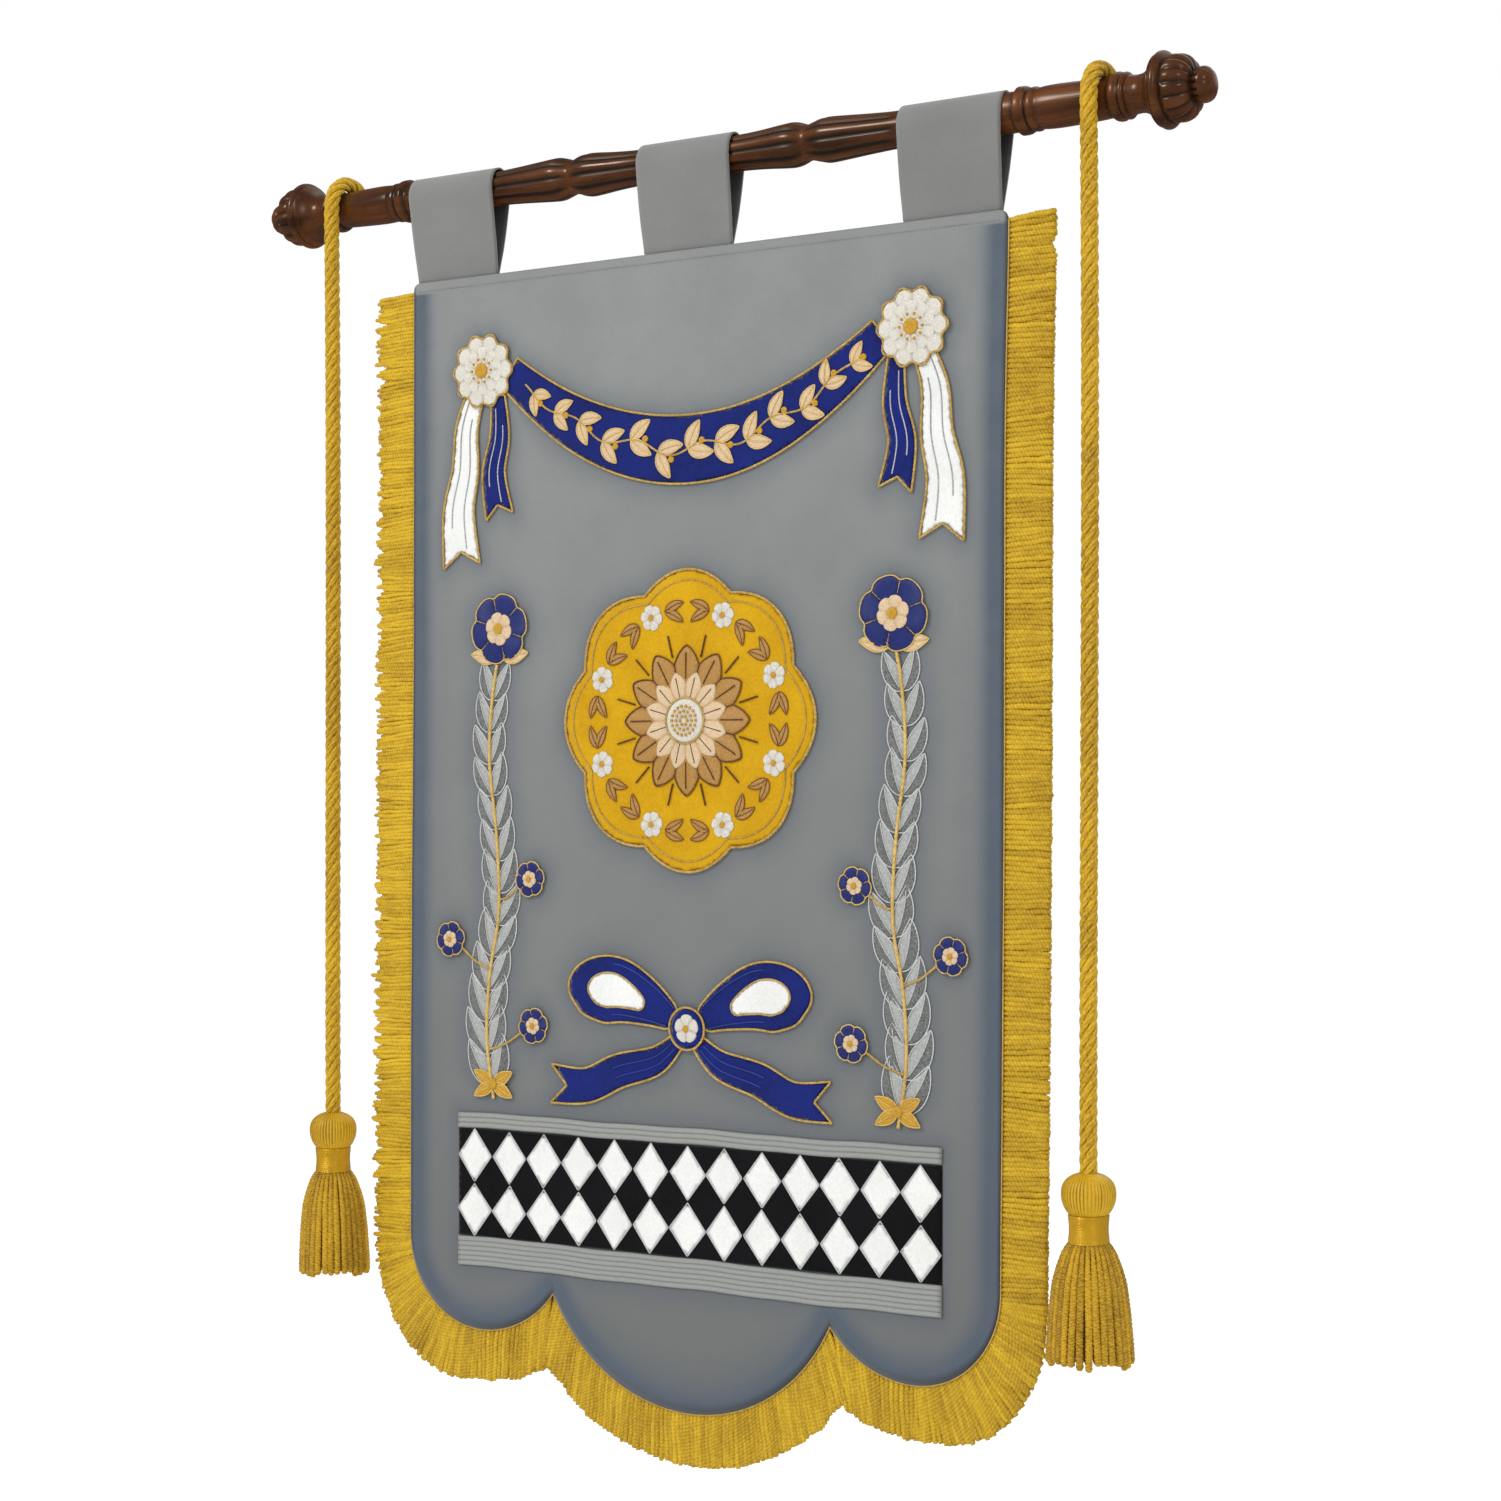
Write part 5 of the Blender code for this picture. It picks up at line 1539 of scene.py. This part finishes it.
def make_swag(sewing):
    """Blue swag with a trailing leaf pattern, rosettes and hanging tails."""
    trim = layers("edge_cord", "cream", "gold", "silver")
    outline, line = ribbon(swag_path(), 1, 2)[2:]
    sewing.cloth("swag_cloth", "blue", "swag", outline, edging=trim["edge_cord"])
    swag_leaves(trim, line)
    for side, sign in (("left", -1), ("right", 1)):
        swag_tails(sewing, trim, side, sign)
        rosette(sewing, trim, side, sign)
    sewing.trimmings("swag", trim)


def medallion_flower(sewing, brown):
    """Two rounds of pointed petals, with spokes stitched along and between them."""
    centre = (0.0, MEDALLION_Z)
    lower, upper = layers("tan"), layers("cream")
    blossom(lower["tan"], *centre, FLOWER_RADIUS, FLOWER_PETALS, LAYER + 0.0002, 0.0, 0.0020,
            0.24, 1.3, trim=brown)
    sewing.pieces.append(lower["tan"].make("medallion_petals", "tan", "medallion_flower"))
    blossom(upper["cream"], *centre, FLOWER_RADIUS * 0.66, FLOWER_PETALS, 2 * LAYER + 0.0002,
            TAU / 24, 0.0014, 0.24, 1.3)
    sewing.trimmings("medallion_inner_petals", upper)
    for index in range(FLOWER_PETALS):
        for offset, start, end, lift, radius in (
                (0.0, 0.55, 0.90, 2 * LAYER + 0.0006, 0.0006),
                (0.5, 0.86, 1.16, LAYER + 0.0010, 0.0008),
                (0.5, 0.30, 0.58, 2 * LAYER + 0.0014, 0.0005)):
            spoke(brown, *centre, TAU * (index + offset) / FLOWER_PETALS,
                  FLOWER_RADIUS * start, FLOWER_RADIUS * end, lift, radius)


def medallion_wreath(trim):
    """Small blossoms in a ring, with two pairs of leaves between neighbours."""
    for index in range(WREATH_FLOWERS):
        angle = TAU * (index + 0.5) / WREATH_FLOWERS
        x, z = (0.0, MEDALLION_Z) + WREATH_RADIUS * ray(angle)
        blossom(trim["ivory"], x, z, 0.0120, 6, LAYER + 0.0003, angle, 0.0014, 0.2)
        dot(trim["gold"], x, z, 0.0030, LAYER + 0.0014)
        for way in (-1, 1):
            turn = angle + 0.155 * way
            x, z = (0.0, MEDALLION_Z) + WREATH_RADIUS * ray(turn)
            for out in (-0.42, 0.42):
                satin_leaf(trim["tan"], trim["brown_cord"], x, z,
                           turn + way * (math.pi / 2 - out), 0.0225, 0.0088, 0.5 * way,
                           LAYER + 0.0002, 0.0010, edge=0.00042)


def make_medallion(sewing):
    """Yellow foil with a tan flower, a pale boss and a wreath of blossoms and leaves."""
    trim = layers("edge_cord", "brown_cord", "tan", "ivory", "gold")
    centre = (0.0, MEDALLION_Z)
    foil = MEDALLION_RADIUS * (0.90 + 0.10 * np.abs(np.cos(4 * around(240))))
    sewing.cloth("medallion_cloth", "yellow", "medallion", polar(*centre, foil),
                 edging=trim["edge_cord"], radius=0.0013)
    cord_round(trim["edge_cord"], polar(*centre, foil * 0.93), LAYER + 0.0004, 0.00065)
    medallion_flower(sewing, trim["brown_cord"])
    medallion_wreath(trim)
    boss = Build()
    padded(boss, *centre, np.full(60, BOSS_RADIUS), 2 * LAYER + 0.0010, 0.0026)
    sewing.pieces.append(boss.make("medallion_heart", "ivory", "medallion_boss"))
    cord_round(trim["edge_cord"], circle(*centre, BOSS_RADIUS + 0.0006), 2 * LAYER + 0.0018,
               0.0011)
    for radius, count in KNOT_RINGS:
        for angle in around(count):
            dot(trim["gold"], *(centre + radius * ray(angle)), 0.0015, 2 * LAYER + 0.0034)
    sewing.trimmings("medallion", trim)


def make_bow(sewing):
    """Blue bow with a white reverse, gold edges and stitched folds."""
    trim = layers("edge_cord", "azure", "white", "ivory", "gold")
    for side, sign in (("left", -1), ("right", 1)):
        one, other, outline, _ = ribbon(BOW_LOOP, sign)
        loop = eased(outline)
        sewing.cloth("bow_loop_cloth_" + side, "blue", "bow_loop_" + side, loop,
                     edging=trim["edge_cord"])
        heart = np.array([sign * BOW_EYE[0], BOW_EYE[1]])
        eye = heart + (loop - heart) * BOW_EYE_SIZE
        patch(trim["white"], eye, LAYER + 0.0001, 0.0006, 0.0030)
        cord_round(trim["edge_cord"], eye, LAYER + 0.0005, 0.0008)
        folds = [(one, other, 0.12), (one, other, 0.88)]
        one, other, _, line = ribbon(BOW_TAIL, sign)
        tail = np.vstack([one, [line[-5, :2]], other[::-1]])
        sewing.cloth("bow_tail_cloth_" + side, "blue", "bow_tail_" + side, tail,
                     edging=trim["edge_cord"])
        folds += [(one, other, 0.36), (one, other, 0.66)]
        for one, other, share in folds:
            fold = (one + (other - one) * share)[2:int(len(one) * 0.55)]
            cord_round(trim["azure"], fold, LAYER + 0.0003, 0.00065, closed=False, tone=0.9)
    x, z = 0.0, BOW_Z - BOW_KNOT_DROP
    sewing.cloth("bow_knot_cloth", "blue", "bow_knot", circle(x, z, KNOT_RADIUS),
                 base=LAYER + 0.0002, edging=trim["edge_cord"])
    blossom(trim["ivory"], x, z, 0.0130, 5, 2 * LAYER, math.pi / 2, 0.0016)
    dot(trim["gold"], x, z, 0.0034, 2 * LAYER + 0.0012)
    sewing.trimmings("bow", trim)


def branch_leaves(sewing, silver, line):
    """Pairs of silver leaves along a branch, smaller towards its end."""
    tangent = unit(np.gradient(line, axis=0))
    for index in range(BRANCH_LEAVES):
        share = 0.03 + 0.86 * index / (BRANCH_LEAVES - 1)
        spot = int(share * (len(line) - 1))
        heading = math.atan2(tangent[spot, 1], tangent[spot, 0])
        size = 1.0 - 0.25 * share
        for way in (-1, 1):
            sewing.outlines.append(satin_leaf(
                silver, silver, *line[spot], heading + 0.66 * way, BRANCH_LEAF[0] * size,
                BRANCH_LEAF[1] * size, -0.5 * way, 0.0002, 0.0013, (0.74, 0.22)[::way]))


def branch_flower(sewing, trim, x, z, radius, sign):
    """A blue flower with a cream heart and a gold knot."""
    turn = math.pi / 2 + 0.3 * sign
    blossom(trim["azure"], x, z, radius, 6, 0.0020, turn, 0.0020, trim=trim["edge_cord"])
    blossom(trim["cream"], x, z, radius * 0.48, 6, 0.0036, turn + TAU / 12, 0.0014)
    dot(trim["gold"], x, z, radius * 0.16, 0.0048, 0.0018)
    sewing.outlines.append(circle(x, z, radius))


def make_branches(sewing):
    """A silver laurel branch up each side, crowned with a blue flower."""
    trim = layers("silver", "edge_cord", "azure", "cream", "gold")
    stems = trim["edge_cord"]
    for sign in (-1, 1):
        line = spaced(smooth_line(BRANCH, 10) * (sign, 1.0), 0.002)
        branch_leaves(sewing, trim["silver"], line)
        x, z = line[-1] + (0.0, CROWN_RISE)
        below = np.linalg.norm(line - (x, z), axis=1) > 0.98 * CROWN_RADIUS
        cord_round(stems, line[below], 0.0022, 0.0015, closed=False, tone=0.8)
        for turn in (-0.75, -0.38, 0.0, 0.38, 0.75):
            satin_leaf(trim["cream"], stems, x - 0.009 * math.sin(turn), z - 0.0300,
                       math.pi / 2 + 1.5 * turn, 0.0290, 0.0140, 0.5 * turn, 0.0014)
        branch_flower(sewing, trim, x, z, CROWN_RADIUS, sign)
        for x, z in BUDS * np.array([sign, 1.0]):
            near = line[np.argmin(np.linalg.norm(line - (x, z - 0.02), axis=1))]
            rim = (x, z) + unit(near - (x, z)) * BUD_RADIUS * 0.9
            bent = np.array([near, (near + rim) / 2 - (0.0, 0.003), rim])
            cord_round(stems, smooth_line(bent, 6), 0.0018, 0.0011, closed=False)
            branch_flower(sewing, trim, x, z, BUD_RADIUS, sign)
        x, z = line[0] + (0.0, 0.014)
        for turn in (-0.5, 0.5, math.pi - 0.5, math.pi + 0.5):
            satin_leaf(trim["gold"], stems, x, z, turn, 0.0250, 0.0115, 0.0, 0.0026)
        dot(trim["gold"], x, z, 0.0052, 0.0034, 0.0026)
    sewing.trimmings("branch", trim)


def make_braid(name, top):
    """A ribbed braid below a height; returns the piece and its outline."""
    ribs = round(BRAID_WIDTH[name] / RIB_PITCH)
    x = np.linspace(-BAND_HALF, BAND_HALF, 101)
    share = np.linspace(0.0, 1.0, ribs * 6 + 1)[:, None]
    ridge = np.abs(np.sin(math.pi * ribs * share)) + 0.0 * x
    waver = 0.0005 * (np.sin(31.0 * x + 1.0) + 0.6 * np.sin(77.0 * x))
    flat = joined(x, top - BRAID_WIDTH[name] * share + waver)
    build = Build()
    # lighter on the ribs, darker between them: painted shade
    slab(build, on_cloth(flat, LAYER - 0.0010 + 0.0008 * ridge**0.7), 0.0012, flat * 1000.0,
         0.30 + 0.62 * ridge**0.8)
    return build.make("silver_" + name, "braid", name), rim_loop(flat)


def make_band(sewing):
    """A harlequin band of white lozenges on black, between ribbed silver braids."""
    trim = layers("white", "silver")
    outline = BAND_HALF * np.array([(-1, 0), (-1, 0), (1, 0), (1, 0)], float)
    outline[:, 1] = (BAND_TOP, BAND_BOTTOM, BAND_BOTTOM, BAND_TOP)
    sewing.cloth("lozenge_cloth", "black", "lozenge_band", outline)
    wide, tall = 2 * BAND_HALF / LOZENGES, (BAND_TOP - BAND_BOTTOM) / LOZENGE_ROWS
    points = np.array([(0.0, tall), (-wide, 0.0), (0.0, -tall), (wide, 0.0)]) * LOZENGE_SIZE
    random = np.random.default_rng(11)
    for row in range(LOZENGE_ROWS):
        for column in range(LOZENGES):
            middle = ((column + 0.5) * wide - BAND_HALF, BAND_TOP - (row + 0.5) * tall)
            corners = points + (random.normal(0, 0.0004, (4, 2)) + middle)
            patch(trim["white"], corners, LAYER + 0.0001, 0.0007, 0.0040, soft=0.0010)
            cord_round(trim["silver"], corners, LAYER + 0.0003, 0.00042, tone=0.9)
    sewing.trimmings("lozenge", trim)
    for name, top in (("braid_top", BAND_TOP + BRAID_GAP + BRAID_WIDTH["braid_top"]),
                      ("braid_bottom", BAND_BOTTOM - BRAID_GAP)):
        piece, edge = make_braid(name, top)
        sewing.pieces.append(piece)
        sewing.outlines.append(edge)


# ------------------------------------------------------------------- studio
FLOOR_Z = -1.62
FLOOR_HALF = 30.0
MIRRORED_WORLD = 0.12         # the white surround as polished wood reflects it, against 1 as seen
AIM = (0.0, 0.0, -0.55)
# (name, place, power, size) of each lamp
LAMPS = (("key", (-1.6, -2.9, 2.1), 54.0, 0.6), ("fill", (3.0, -2.0, 1.4), 14.0, 0.8),
         ("rim", (0.4, 2.4, 1.8), 20.0, 3.0))


def make_floor():
    """A plain pale floor, far below and unseen by polished surfaces."""
    mesh = bpy.data.meshes.new("floor")
    corners = [(x * FLOOR_HALF, y * FLOOR_HALF, FLOOR_Z)
               for x, y in ((-1, -1), (1, -1), (1, 1), (-1, 1))]
    mesh.from_pydata(corners, [], [(0, 1, 2, 3)])
    mesh.materials.append(plain("pale_floor", (248, 248, 248), 0.95))
    floor = bpy.data.objects.new("floor", mesh)
    bpy.context.scene.collection.objects.link(floor)
    floor.visible_glossy = False


def make_world():
    """A white surround, dimmed where polished surfaces mirror it."""
    world = bpy.data.worlds.new("studio")
    world.use_nodes = True
    tree = world.node_tree
    background = tree.nodes["Background"]
    background.inputs["Color"].default_value = (1.0, 1.0, 1.0, 1.0)
    rays = tree.nodes.new("ShaderNodeLightPath")
    dimmer = tree.nodes.new("ShaderNodeMapRange")
    dimmer.inputs["To Min"].default_value = 1.0
    dimmer.inputs["To Max"].default_value = MIRRORED_WORLD
    tree.links.new(rays.outputs["Is Glossy Ray"], dimmer.inputs["Value"])
    tree.links.new(dimmer.outputs["Result"], background.inputs["Strength"])
    bpy.context.scene.world = world
    bpy.context.scene.view_settings.view_transform = "Standard"


def make_lamps():
    """Soft lamps aimed at the banner's middle."""
    for name, place, power, size in LAMPS:
        data = bpy.data.lights.new(name, "AREA")
        data.energy, data.size = power, size
        lamp = bpy.data.objects.new(name, data)
        lamp.location = place
        toward = Vector(AIM) - Vector(place)
        lamp.rotation_euler = toward.to_track_quat("-Z", "Y").to_euler()
        bpy.context.scene.collection.objects.link(lamp)


def main():
    make_camera()
    make_cords()
    make_bar()
    make_finials()
    sewing = Sewing()
    for maker in (make_swag, make_medallion, make_bow, make_branches, make_band):
        maker(sewing)
    field, area = make_field(sewing.outlines)
    random = np.random.default_rng(3)
    sewn = sewing.pieces + [make_topstitch(), make_piping(), make_tape()]
    sewn += [make_fringe(side, random) for side in FRINGES]
    for side in TAB_X:
        piece, width, length = make_tab(side)
    make_floor()
    make_world()
    make_lamps()


main()
